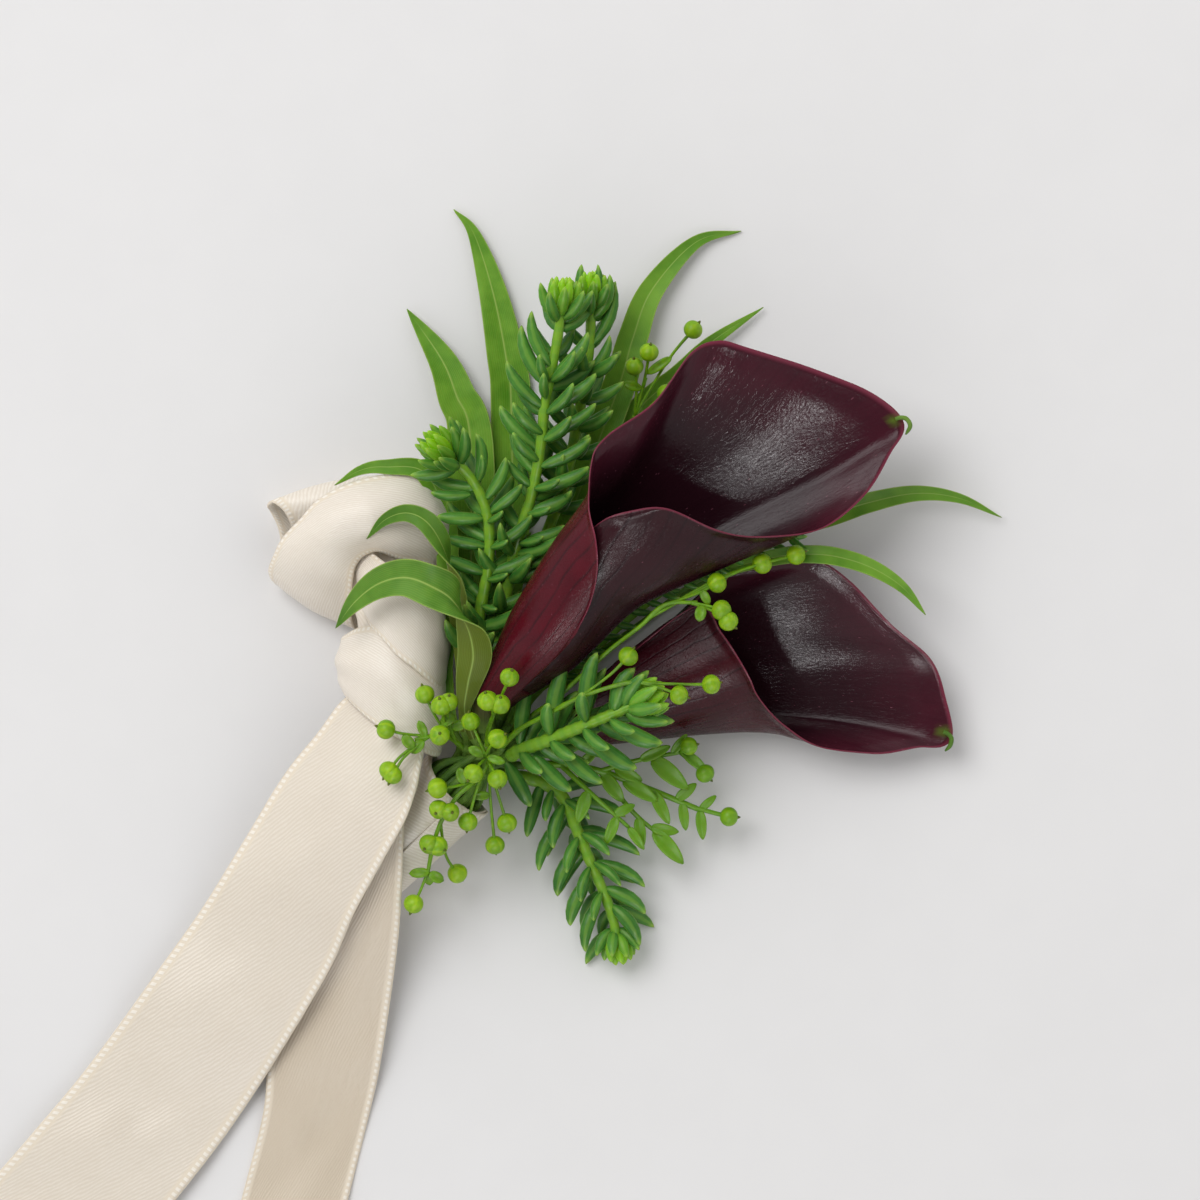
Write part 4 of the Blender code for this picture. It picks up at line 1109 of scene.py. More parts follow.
LOWER_RIM = (
    (29.2, 22.2, 12, 148, 0.32), (35.8, 28.2, 14.6, 145, 0.50), (45.4, 34.2, 15.6, 140, 0.78),
    (49.3, 29.4, 17.8, 115, 0.80), (52.1, 25.5, 19.4, 92, 0.82), (54.4, 21.7, 18.8, 68, 0.86),
    (56, 18.4, 16.8, 47, 0.90), (60.5, 13.3, 11.8, 5, 0.98), (66.7, 9.6, 9.2, -30, 1),
    (76.6, 8.4, 8, -64, 1), (84, 9.5, 7.4, -80, 1), (89.4, 10.5, 7.2, -90, 1),
    (88.4, 17.7, 7.8, -99, 1), (85.8, 24.5, 9, -108, 1), (78.9, 30.6, 11.2, -120, 1),
    (71.8, 37.8, 13, -136, 1), (65.6, 41.5, 14, -152, 1), (57.5, 40.8, 14.6, -174, 1),
    (51, 39.8, 14, -192, 0.96), (46.2, 36, 13.2, -208, 0.86), (41.2, 31, 13, -222, 0.68),
    (34.6, 25.2, 11.4, -230, 0.46), (28.6, 20.2, 9.6, -236, 0.30),
)


@dataclass
class CallaBloom:
    """One calla: a rolled spathe on a solid foot, its green hook, the spadix and the stem.

    A tube point is x, y, z and radius. A rim point is x, y, z, the angle round the tube in
    degrees and the share of the tube's length where its line ends. The shade, from 0 to 1,
    makes the outer face duller.
    """

    name: str
    tube: tuple
    rim: tuple
    stem_angles: tuple[float, float]
    hook: tuple
    seed: int
    shade: float = 0.0
    around: int = 250
    along: int = 88
    sheet_apart: float = 0.95
    overlap: float = 120.0
    flare_power: float = 2.2
    rise_power: float = 3.2
    foot_end: int = 8
    spadix_end: int = 32
    stem_radius: float = 2.1
    foot_wall: float = 0.8
    thinning: float = 0.6
    veins: int = 44
    vein_height: float = 0.012
    wave: float = 0.32
    wave_length: float = 9.0
    green_reach: float = 1.5
    foot_sides: int = 32
    spadix_radius: float = 1.8
    spadix_bump: float = 0.12
    spadix_rings: int = 90
    spadix_sides: int = 36
    hook_radius: float = 0.42
    hook_rings: int = 18

    def axis(self) -> Points:
        """The tube's middle line with its radius, in even steps."""
        return smooth_path(self.tube, TUBE_STEPS + 1)

    def _shares(self) -> Points:
        """The shares of a line's length at which the sheet has its columns."""
        return np.linspace(0, 1, self.along) ** 0.9

    def sheet(self) -> Points:
        """The middle surface of the spathe.

        A line of it follows the tube from its base to the rim point's share of the length, with
        a bend towards the rim point that grows with the distance to a power. Fine slow waves are
        added near the margin, which rolls outwards a little.

        Returns:
            Rows round the margin by columns along the tube by 3.
        """
        edge = smooth_path(self.rim, self.around)
        path = self.axis()
        ahead = tangents(path[:, :3])
        right = unit(np.cross(ahead, UP))
        over = np.cross(right, ahead)
        v = self._shares()
        angle = np.radians(edge[:, 3])[:, None]
        turned = np.abs(edge[:, 3] - edge[0, 3])[:, None]
        total = turned[-1, 0]
        over_start, over_end = (np.clip(1 - far / self.overlap, 0, 1) for far in (turned, total - turned))
        outside = over_start - over_end
        frames = np.hstack([path, right, over])

        def tube_point(s: Points) -> Points:
            """The tube's surface at each line's angle and s steps along the path."""
            at = np.stack([np.interp(s, np.arange(TUBE_STEPS + 1), frames[:, k]) for k in range(10)], axis=-1)
            radius = at[..., 3:4] + self.sheet_apart * outside[..., None]
            return at[..., :3] + radius * (
                np.cos(angle)[..., None] * at[..., 4:7] + np.sin(angle)[..., None] * at[..., 7:]
            )

        line = tube_point(edge[:, 4:5] * v[None, :] * TUBE_STEPS)
        miss = edge[:, None, :3] - tube_point(edge[:, 4:5] * TUBE_STEPS)
        bend = np.stack([v**self.flare_power, v**self.flare_power, v**self.rise_power], axis=1)
        sheet = line + bend[None] * miss
        normal = unit(np.cross(np.gradient(sheet, axis=0), np.gradient(sheet, axis=1)))
        run = run_along(edge)[:, None]
        wave = self.wave * ripple(run / self.wave_length, 6.0 * v[None, :], self.seed) * v[None, :] ** 3
        roll = self._outward() * 0.5 * smoothstep((v[None, :] - 0.955) / 0.045)
        sheet = sheet + (roll + wave)[..., None] * normal
        sheet[..., 2] = np.clip(sheet[..., 2], LOWEST_PETAL, HIGHEST_PETAL)
        return sheet

    def _outward(self) -> float:
        """The sign that the surface's normal has on its outer side."""
        return 1.0 if self.rim[-1][3] < self.rim[0][3] else -1.0

    def spathe(self, look: Material) -> None:
        """Builds the spathe with its foot.

        The wall is thick at the foot and thins towards the margin; ribs along the veins lift it.

        Args:
            look: the petal's material.
        """
        sheet = self.sheet()
        v = self._shares()
        u = np.linspace(0, 1, self.around)
        bends = 2.0 * ripple(8 * u[:, None], 3 * v, 5)
        ribs = self.vein_height * np.cos(2 * math.pi * self.veins * u[:, None] + bends)
        thick = (self.foot_wall - self.thinning * v**3)[None, :] + ribs * (1 - v**6)[None, :]
        places = np.stack(np.meshgrid(u, v, indexing="ij"), -1)
        tip = np.array(self.hook[0])
        near = np.linalg.norm(sheet[..., :2] - tip[:2], axis=-1)
        green = 1 - smoothstep(near / self.green_reach)
        made = Surface()
        made.shell(sheet, thick, places, flip=self._outward() > 0, tone=self.shade, tip=green)
        path = self.axis()[: self.foot_end + 1]
        _, side, over = cross_frame(path[:, :3])
        rings = path[:, None, :3] + (path[:, 3, None, None] + 0.2) * circles(side, over, self.foot_sides)
        places = spread(np.linspace(0, 1, self.foot_sides + 1), np.linspace(0, 0.2, len(path)))
        made.rings(rings, places, inner=0.0)
        made.build(f"{self.name}_spathe_skin", look, Slot.SPATHE, (f"{self.name}_spathe",))

    def spadix(self, look: Material) -> None:
        """Builds the spadix: a rod whose surface is covered with small round bumps.

        Args:
            look: its material.
        """
        tube = self.axis()[:, :3]
        rod = tube[self.foot_end : self.spadix_end] + 0.35 * tangents(tube)[self.foot_end]
        path = smooth_path(rod, self.spadix_rings)
        share = np.linspace(0, 1, self.spadix_rings)
        taper = np.sqrt(np.clip(1 - share**6, 0.02, 1))
        radii = self.spadix_radius * taper * (0.75 + 0.25 * np.sin(math.pi * share))
        turn = turns(self.spadix_sides)
        row = np.arange(self.spadix_rings)[:, None]
        bumps = np.cos(9 * turn[None, :] + math.pi * (row // 5 % 2)) * np.cos(2 * math.pi * row / 5)
        _, side, over = cross_frame(path)
        ring = circles(side, over, self.spadix_sides)
        rings = path[:, None, :] + (radii[:, None] + self.spadix_bump * bumps)[..., None] * ring
        made = Surface()
        made.rings(rings, spread(np.linspace(0, 1, self.spadix_sides + 1), share))
        made.build(f"{self.name}_spadix_rod", look, Slot.SPADIX, (f"{self.name}_spadix",))

    def stem(self, look: Material) -> None:
        """Builds the stem from the bundle's head to the bloom's foot.

        Args:
            look: the stem's material.
        """
        path = self.axis()
        ahead = tangents(path[:, :3])[0]
        top = path[0, :3] - 0.3 * ahead
        points = smooth_path((head_root(*self.stem_angles, STEM_GAP), top - ahead, top), 24)
        made = Surface()
        made.tube(points, self.stem_radius, 20, tip=np.linspace(0.1, 1, 24))
        made.build(f"{self.name}_stem_rod", look, Slot.STEM, (f"{self.name}_stem",))

    def tip(self, look: Material) -> None:
        """Builds the small green hook that ends the spathe's tip.

        Args:
            look: the green stem's material.
        """
        path = smooth_path(self.hook, self.hook_rings)
        share = np.linspace(0, 1, self.hook_rings)
        radii = self.hook_radius * np.sqrt(np.clip(1 - share**3, 0.05, 1)) * (0.8 + 0.5 * share)
        made = Surface()
        made.tube(path, radii, 10)
        made.build(f"{self.name}_green_tip", look, Slot.STEM)


# Long leaves


@dataclass
class LongLeaf:
    """A narrow leaf along its midrib, with the side directions where it turns over."""

    name: str
    points: tuple
    widest: float
    sides: tuple | None = None
    seed: int = 1
    stalk: float = 1.4
    fold: float = 0.1
    rise: float = 1.1
    fall: float = 0.95
    rows: int = 150
    columns: int = 15
    stalk_share: float = 0.08
    wave: float = 0.16
    rib: float = 0.22
    edge_wall: float = 0.2
    middle_wall: float = 0.36

    def build(self, look: Material) -> None:
        """Builds the leaf.

        The half width follows a swelling curve of the share run. Across it the face is folded
        into a shallow V with rounded halves, the midrib stands out, and slow waves move the
        edges up and down.

        Args:
            look: the leaf's material.
        """
        path = smooth_path(self.points, self.rows)
        along = tangents(path)
        level = unit(np.cross(UP, along))
        sides = level if self.sides is None else unit(smooth_path(self.sides, self.rows))
        side = unit(sides - np.sum(sides * along, axis=1, keepdims=True) * along)
        over = np.cross(along, side)
        share = np.linspace(0, 1, self.rows)
        s = np.clip((share - self.stalk_share) / (1 - self.stalk_share), 0, 1)
        peak = self.rise / (self.rise + self.fall)
        swell = s**self.rise * (1 - s) ** self.fall / (peak**self.rise * (1 - peak) ** self.fall)
        half = 0.5 * (np.maximum(self.stalk * (1 - s), self.widest * swell) + 0.3 * (1 - share**8) + 0.06)
        x = np.sin(np.linspace(-0.5, 0.5, self.columns) * math.pi)
        lift = -2 * self.fold * (1 - np.abs(x) ** 1.4)
        drop = lift[None, :] * half[:, None]
        slow = ripple(7 * share[:, None], 1.5 * x[None, :], self.seed)
        waves = self.wave * half[:, None] * x[None, :] ** 2 * slow
        rib = -self.rib * np.exp(-((x * 7) ** 2))[None, :] * (1 - share[:, None])
        sheet = path[:, None, :] + (half[:, None] * x[None, :])[..., None] * side[:, None, :]
        sheet = sheet + (drop + waves + rib)[..., None] * over[:, None, :]
        thick = self.edge_wall + self.middle_wall * (1 - np.abs(x[None, :]) ** 2) * (1 - 0.6 * share[:, None])
        made = Surface()
        made.shell(sheet, thick, spread(0.5 + 0.5 * x, share))
        made.build(f"{self.name}_blade", look, Slot.LEAF, (self.name,))


LONG_LEAVES = (
    LongLeaf(
        "leaf_up_left",
        (head_root(112, -34), (5.4, 20, 4.2), (5.4, 40, 3.6), (5.2, 63.7, 3.6), (2.8, 70.9, 3.6),
         (0.2, 77.2, 3), (-5.9, 86.1, 1.4)),
        7.8, None, 1,
    ),
    LongLeaf(
        "leaf_up_middle",
        (head_root(94, -50), (10, 19, 2.2), (12.4, 42, 1.8), (12.4, 69.3, 1.6), (11.4, 78.2, 1.8),
         (9.1, 89.4, 1.8), (5.8, 99.4, 1.2), (2.3, 103.6, 0.5)),
        6.8, None, 2,
    ),
    LongLeaf(
        "leaf_up_right",
        (head_root(78, -30), (12.8, 19, 4.2), (18, 36, 4.2), (22.6, 49.2, 4.4), (31, 71.6, 4.6),
         (33.8, 81, 4.2), (37.1, 89.4, 3.4), (44.8, 97.8, 2), (52.8, 99.8, 0.5)),
        5.4, None, 3,
    ),
    LongLeaf(
        "leaf_up_far",
        (head_root(52, -62), (15.6, 19, 1.2), (26, 49, 1.4), (33.2, 66.3, 2.6), (42, 74.9, 3.4),
         (47.6, 80.3, 3), (56.7, 86.4, 1.2)),
        3.8, None, 4,
    ),
    LongLeaf(
        "leaf_left_short",
        (head_root(146, 8, 0.7), (1.6, 18, 10.4), (1.2, 32, 11.5), (1, 48, 13), (-2.6, 57.2, 13.6),
         (-9.6, 58.3, 13.4), (-14, 57.7, 12.6), (-18.5, 55.1, 11.2)),
        3.6, None, 5,
    ),
    LongLeaf(
        "leaf_curled_small",
        (head_root(132, 34), (4, 18, 13.4), (3.6, 30, 15.5), (2.4, 39.4, 18.5), (0.6, 44.6, 21),
         (-2.2, 48.6, 22.4), (-5.8, 50.2, 21.8), (-9.6, 49, 19.6), (-12.8, 45.7, 16.6)),
        3.9,
        ((1, 0, 0), (1, 0, 0), (1, 0, 0), (0.95, -0.2, 0), (0.8, -0.6, 0), (0.4, -0.9, 0), (0, -1, 0),
         (0.35, -0.9, 0), (0.6, -0.75, 0)),
        6,
    ),
    LongLeaf(
        "leaf_curled_large",
        (head_root(124, 56), (4.4, 15.6, 16.6), (5, 20.4, 18.8), (6.2, 26, 21.5), (5.4, 31.2, 25),
         (2.6, 35.2, 28), (-1.4, 37.4, 29.6), (-6.1, 38.9, 29), (-10.8, 37.8, 27),
         (-14.9, 34.6, 24), (-18.2, 30.1, 20.5)),
        7.2,
        ((1, 0, 0), (1, 0, 0), (1, 0, 0), (1, 0, 0), (0.95, -0.2, 0), (0.8, -0.6, 0), (0.3, -0.9, 0),
         (0, -1, 0), (0.35, -0.9, 0), (0.6, -0.75, 0), (0.65, -0.7, 0)),
        7, 1.4, 0.1, 0.8,
    ),
    LongLeaf(
        "leaf_right_upper",
        (head_root(14, -44), (17.4, 14, 1.8), (30, 30, 2), (48, 44, 3.2), (68.2, 49.9, 5.4),
         (75.2, 52.1, 6), (83.5, 53.7, 5.6), (91.2, 52.8, 4.2), (98.5, 49.5, 1.8)),
        3.9, None, 8,
    ),
    LongLeaf(
        "leaf_right_lower",
        (head_root(54, 12), (14.6, 17.4, 7.4), (24, 23.6, 6.6), (31, 27.8, 7.4), (46, 38.4, 12.4),
         (57.7, 42.3, 17.6), (65.6, 43, 19.6), (71.8, 42, 18.4), (77, 39.9, 17),
         (81.4, 36.8, 15.4), (85, 32.4, 13.6)),
        2.8, None, 9, 1, 0.1, 2.8,
    ),
)


# Fleshy sprigs


@dataclass
class SedumSprig:
    """A sprig of plump leaves: those seen in the photograph, hidden whorls and a bud at its tip.

    A seen leaf is (root x, root y, tip x, tip y, rise of the tip over the root).
    """

    name: str
    points: tuple
    first: float
    length: float
    whorls: int
    seen: tuple = ()
    seen_from: float = 0.0
    seen_to: float = 1.0
    bud: float = 1.0
    bud_lean: tuple = (0.0, 0.0, 0.4)
    hidden_rise: float = 1.1
    seed: int = 1
    lime: float = 0.5
    stem_radius: float = 1.2
    width: float = 2.6
    depth: float = 1.8
    steps: int = 80
    bud_leaves: int = 15
    whorl_leaves: int = 5
    lowest_tip: float = 0.8

    def _leaf(
        self, made: Surface, root: Points, mid: Points, tip: Points, wide: float, deep: float, tone: float
    ) -> None:
        """Adds one plump leaf along a bent line: pointed at both ends and flatter on top.

        The line is a quadratic curve through root and tip, pulled to the middle control point.
        The half width is a power curve of the share run, and the ring is an ellipse whose upper
        half is lower than its lower half.

        Args:
            made: the surface to add to.
            root: where the leaf leaves the stem.
            mid: the control point of its bend.
            tip: its tip.
            wide: its greatest width.
            deep: its greatest thickness.
            tone: its mark.
        """
        share = np.array((0.04, 0.15, 0.32, 0.5, 0.68, 0.84, 0.95))
        line = bent_line(root, mid, tip, share[:, None])
        along = tangents(line)
        side = unit(np.cross(along, UP + 0.001))
        over = np.cross(side, along)
        swell = share**0.5 * (1 - share) ** 0.7 / (0.417**0.5 * 0.583**0.7)
        turn = turns(8)
        high = np.where(np.sin(turn) > 0, 0.38, 0.62) * np.sin(turn)
        ring = 0.5 * wide * np.cos(turn)[:, None] * side[:, None, :] + deep * high[:, None] * over[:, None, :]
        rings = line[:, None, :] + swell[:, None, None] * ring
        made.rings(rings, spread(np.linspace(0, 1, 9), share), tone=tone, tip=share, poles=(root, tip))

    def _bud(self, made: Surface, end: Points, ahead: Points, draw: random.Random) -> None:
        """Adds a bud: short leaves on a golden-angle spiral, more upright and lime to its centre.

        Args:
            made: the surface to add to.
            end: the end of the stem.
            ahead: the stem's direction there.
            draw: the source of small differences.
        """
        axis = unit(ahead + np.array(self.bud_lean))
        side = unit(np.cross(axis, (0.3, 0.2, 1.0)))
        over = np.cross(side, axis)
        last = self.bud_leaves - 1
        for k in range(self.bud_leaves):
            out = (last - k) / last
            turn = GOLDEN_ANGLE * k + draw.uniform(-0.1, 0.1)
            flat = math.cos(turn) * side + math.sin(turn) * over
            lean = 0.08 + 0.72 * out
            way = unit(axis + lean * flat)
            size = self.bud * self.length * (0.56 + 0.18 * out)
            root = end - 2.4 * out * axis + (0.25 + 0.35 * out) * flat
            tip = root + size * way
            mid = root + 0.5 * size * unit(way + (0.25 + 0.4 * out) * flat)
            tone = 1.0 - 0.55 * out
            self._leaf(made, root, mid, tip, 0.8 * self.width, 0.8 * self.depth, tone)

    def _hidden(self, fine: Points, draw: random.Random) -> list:
        """The leaves that the photograph doesn't show: whorls along the stem, mostly below it.

        Args:
            fine: the stem's points.
            draw: the source of small differences.

        Returns:
            Rows of root, bend point, tip and mark.
        """
        along, side, over = cross_frame(fine)
        rows = []
        last = len(fine) - 1
        for w in range(self.whorls):
            share = self.first + (0.95 - self.first) * w / (self.whorls - 1)
            covered = self.seen and self.seen_from <= share <= self.seen_to
            i = int(round(share * last))
            for k in range(self.whorl_leaves):
                turn = 2 * math.pi * (k + 0.5 * (w % 2)) / self.whorl_leaves + draw.uniform(-0.15, 0.15)
                out = math.cos(turn) * side[i] + math.sin(turn) * over[i]
                if out[2] > (-0.35 if covered else self.hidden_rise):
                    continue
                size = self.length * draw.uniform(0.85, 1.05) * (1 - 0.3 * max(0.0, share - 0.6))
                tip = fine[i] + size * (0.8 * out + 0.58 * along[i])
                tip[2] = max(tip[2], self.lowest_tip)
                mid = fine[i] + size * (0.5 * out + 0.12 * along[i])
                mid[2] = max(mid[2], 1.4)
                rows.append((fine[i], mid, tip, 0.5 * draw.random()))
        return rows

    def _shown(self, fine: Points, draw: random.Random) -> list:
        """The measured leaves, each bent outwards from the stem and forwards to its tip.

        Args:
            fine: the stem's points.
            draw: the source of small differences.

        Returns:
            Rows of root, bend point, tip and mark.
        """
        along = tangents(fine)
        rows = []
        for x, y, tip_x, tip_y, rise in self.seen:
            i = int(np.argmin(np.hypot(fine[:, 0] - x, fine[:, 1] - y)))
            start = fine[i] + 0.5 * (np.array((x, y, fine[i, 2])) - fine[i])
            start[2] += 0.4 * min(rise, 2.0)
            tip = np.array((tip_x, tip_y, fine[i, 2] + rise))
            tip[2] = max(tip[2], self.lowest_tip)
            reach = tip - start
            out = reach - (reach @ along[i]) * along[i]
            mid = start + 0.5 * reach + 0.24 * np.linalg.norm(reach) * unit(out - 0.7 * along[i])
            mid[2] += 0.4
            young = self.lime * max(0.0, i / (self.steps - 1) - 0.6)
            rows.append((start, mid, tip, 0.5 * draw.random() + young))
        return rows

    def build(self, look: Material) -> None:
        """Builds the sprig as one piece.

        Args:
            look: the sprig's material.
        """
        draw = random.Random(self.seed)
        made = Surface()
        fine = smooth_path(self.points, self.steps)
        swell = 1 + 0.05 * np.sin(np.arange(self.steps) * 1.3)
        made.tube(fine, self.stem_radius * np.linspace(1.0, 0.7, self.steps) * swell, 10)
        made.as_stalk()
        for start, mid, tip, tone in self._hidden(fine, draw) + self._shown(fine, draw):
            wide = self.width * min(1.0, np.linalg.norm(tip - start) / 8.5) * draw.uniform(0.84, 1.04)
            self._leaf(made, start, mid, tip, wide, self.depth, tone)
        if self.bud > 0:
            self._bud(made, fine[-1], tangents(fine)[-1], draw)
        made.build(f"{self.name}_sprig", look, Slot.SEDUM, (self.name,))


SEDUM_SPRIGS = (
    SedumSprig(
        "sedum_left",
        (head_root(124, 10), (4.4, 19.4, 10.8), (6, 26, 12), (7, 33.1, 14), (8.4, 40.8, 15.5),
         (8.4, 49.2, 17), (5.8, 55.8, 18.5), (1.4, 60.4, 20)),
        0.26, 10.8, 8,
        ((8, 44.4, 0.9, 46, 0.5), (7.9, 39.7, 0.7, 42.7, 0.5), (7.3, 49.3, -0.5, 49.7, 0.5),
         (4.4, 52.8, -1.6, 53.9, 0.5), (6.1, 34.6, 1, 38.8, -0.5), (7, 56.2, 6.3, 64.2, 1),
         (7.3, 56.2, 7.2, 60.4, 4), (8.4, 52.7, 11.5, 60, 1), (9.1, 50.4, 14.3, 55.3, 1),
         (8.2, 48.5, 11, 50.6, 4.5), (9.4, 44.1, 16.1, 50, 1), (9.1, 44.1, 11.9, 45.5, 4.5),
         (9.1, 39.5, 17, 43.6, 0.5), (8.4, 38.5, 11.9, 39.7, 4.5), (8.2, 32.9, 15, 36.4, 0.5),
         (7.3, 33.8, 10, 33.4, 4), (7.7, 28.7, 11.5, 30.3, 0.5)),
        0.45, 0.95, 1, (-0.25, 0.1, 0.5), 1.1, 11, 1.2,
    ),
    SedumSprig(
        "sedum_middle",
        (head_root(96, 3), (8.2, 20, 9.4), (9.8, 27, 11.2), (11.4, 35.2, 12.5), (13.1, 43.6, 14),
         (15.9, 53, 15.5), (17.5, 60.9, 17), (18.4, 69.3, 18), (20.6, 81, 19), (21.2, 86, 19.5)),
        0.2, 10.8, 12,
        ((18.4, 68.6, 11.7, 76.8, 0.8), (18.4, 64.2, 12.8, 69.6, 3), (18, 61.2, 10.5, 69.1, -1.5),
         (17.5, 59.3, 12.8, 64.4, 3), (18.9, 72.6, 14.3, 83.1, 0.5), (19.4, 75.6, 16.1, 85.6, 1.5),
         (18.9, 73, 17.5, 78, 4), (18.5, 70.3, 18.2, 74.7, 5), (19.8, 74.2, 25.9, 81.9, 1),
         (19.4, 73.3, 23.6, 78.6, 3.5), (19.1, 67.7, 23.3, 73, 3.5), (18.9, 68.2, 27.3, 74.7, 0.5),
         (18.4, 63, 22.9, 67.2, 3.5), (18.4, 63.5, 27.3, 69.5, 0.5), (17.8, 58.4, 26.4, 63.5, 1.5),
         (17.1, 54.2, 26.1, 58.4, 1), (16.3, 54.8, 11.9, 59.5, 1), (16.4, 54.2, 21, 56.2, 4),
         (15.4, 49.9, 19.4, 51.3, 4), (15.7, 50.4, 23.1, 53.9, 0.5), (14, 45, 18.2, 46.2, 4),
         (14.3, 45, 22, 48.1, 0.5), (12.8, 40.8, 19.1, 42.3, 0.5)),
        0.45, 0.98, 0.95, (0, 0, 0.12), 1.1, 12,
    ),
    SedumSprig(
        "sedum_back",
        (head_root(70, -8), (12, 20, 7.2), (14.6, 31, 7.8), (18.2, 45, 9), (21.9, 56, 10.5),
         (24.8, 70.3, 12), (26.2, 80, 13), (26.4, 88, 14)),
        0.5, 9.6, 8,
        ((25.2, 84, 22.9, 90.3, 1), (25.7, 86.6, 24.8, 93.8, 1), (27.1, 87.5, 27.6, 93.8, 1),
         (27.1, 84.3, 29.7, 92, 1), (26.2, 84.9, 26.6, 89.2, 4.5), (26.6, 79.6, 30.6, 90.6, 0.3),
         (25.9, 74.4, 29.7, 81.4, 0.5)),
        0.84, 1, 0.9, (0, 0, 0.15), 1.1, 13,
    ),
    SedumSprig(
        "sedum_front",
        (head_root(4, 48), (14.2, 8.8, 15.4), (19.1, 10.6, 18.8), (25.7, 13.3, 22.6), (31, 15.4, 24.2),
         (34.4, 17, 24.6)),
        0.14, 11, 8,
        ((13.6, 10, 16, 21, 2), (19.2, 12.1, 22.2, 23.6, 2), (19.2, 11.9, 19.1, 17, 5.5),
         (25.2, 14.2, 27.6, 25.9, 2), (25.5, 14, 25, 18.9, 5.5), (30.4, 15.9, 33.9, 23.1, 2),
         (14, 8.8, 18, 4.9, 4.5), (16.8, 6.3, 23.1, 1.6, 0.5), (19.4, 10.3, 23.8, 7.5, 4.5),
         (21.3, 7.9, 28.5, 3, 0.5), (25.2, 12.2, 29.7, 9.1, 4.5), (26.9, 9.1, 34.5, 5.6, 0.5),
         (30.1, 13.5, 34.1, 12.1, 4.5), (31.1, 12.1, 39, 10.1, 1), (10.5, 6.1, 15.9, -1.2, -1)),
        0, 0.95, 0.95, (0.1, 0.08, 0), 1.1, 14, 0.5, 1.3, 3.1, 2,
    ),
    SedumSprig(
        "sedum_bottom",
        (head_root(-34, -12), (16, 3.6, 6.8), (21.2, 0.7, 7.4), (24, -5.4, 7.2), (26.8, -12.1, 6.4),
         (29, -17.1, 5.6), (30.4, -21.5, 5), (31, -25, 4.6)),
        0.22, 10.4, 8,
        ((18.4, 4.4, 15.2, -6.6, 0.8), (19.6, 1.8, 18.5, -3.8, 3.5), (21.3, -1, 19.9, -8.6, 2.5),
         (20.3, -3.5, 17.3, -12.6, 0.3), (24, -6.6, 22.2, -12.9, 2.5), (23.1, -8.8, 20.6, -17, 0.3),
         (25.9, -11.9, 24.7, -18, 2.5), (25.2, -14, 22.8, -22.2, 0.3), (28, -16.3, 26.9, -21.3, 2.5),
         (27.3, -17.5, 25.5, -26.8, 0.3), (22, 0, 26.2, -3.5, 3.5), (23.1, 0, 32.5, -3.1, 0.5),
         (25.2, -5.8, 29.7, -9.8, 3.5), (25.5, -5.8, 35, -9.8, 0.5), (27.3, -10.8, 31.7, -15.2, 3.5),
         (27.6, -10.8, 35.9, -15.4, 0.5), (29, -15.4, 36, -20.1, 0.5), (30.1, -18.4, 35, -25.7, 0.5)),
        0.1, 0.95, 0.72, (0, 0, 0.15), 1.1, 15,
    ),
    SedumSprig(
        "sedum_between",
        (head_root(50, -28), (14.4, 16.4, 5.2), (20, 22.8, 6.4), (28, 30.2, 10), (36, 36.2, 12),
         (44, 40.4, 14.4), (56, 45, 17.6), (64, 47.6, 19)),
        0.2, 5.6, 15, (), 0, 1, 0, (0, 0, 0.2), 0.5, 16,
    ),
)


# Berry sprays


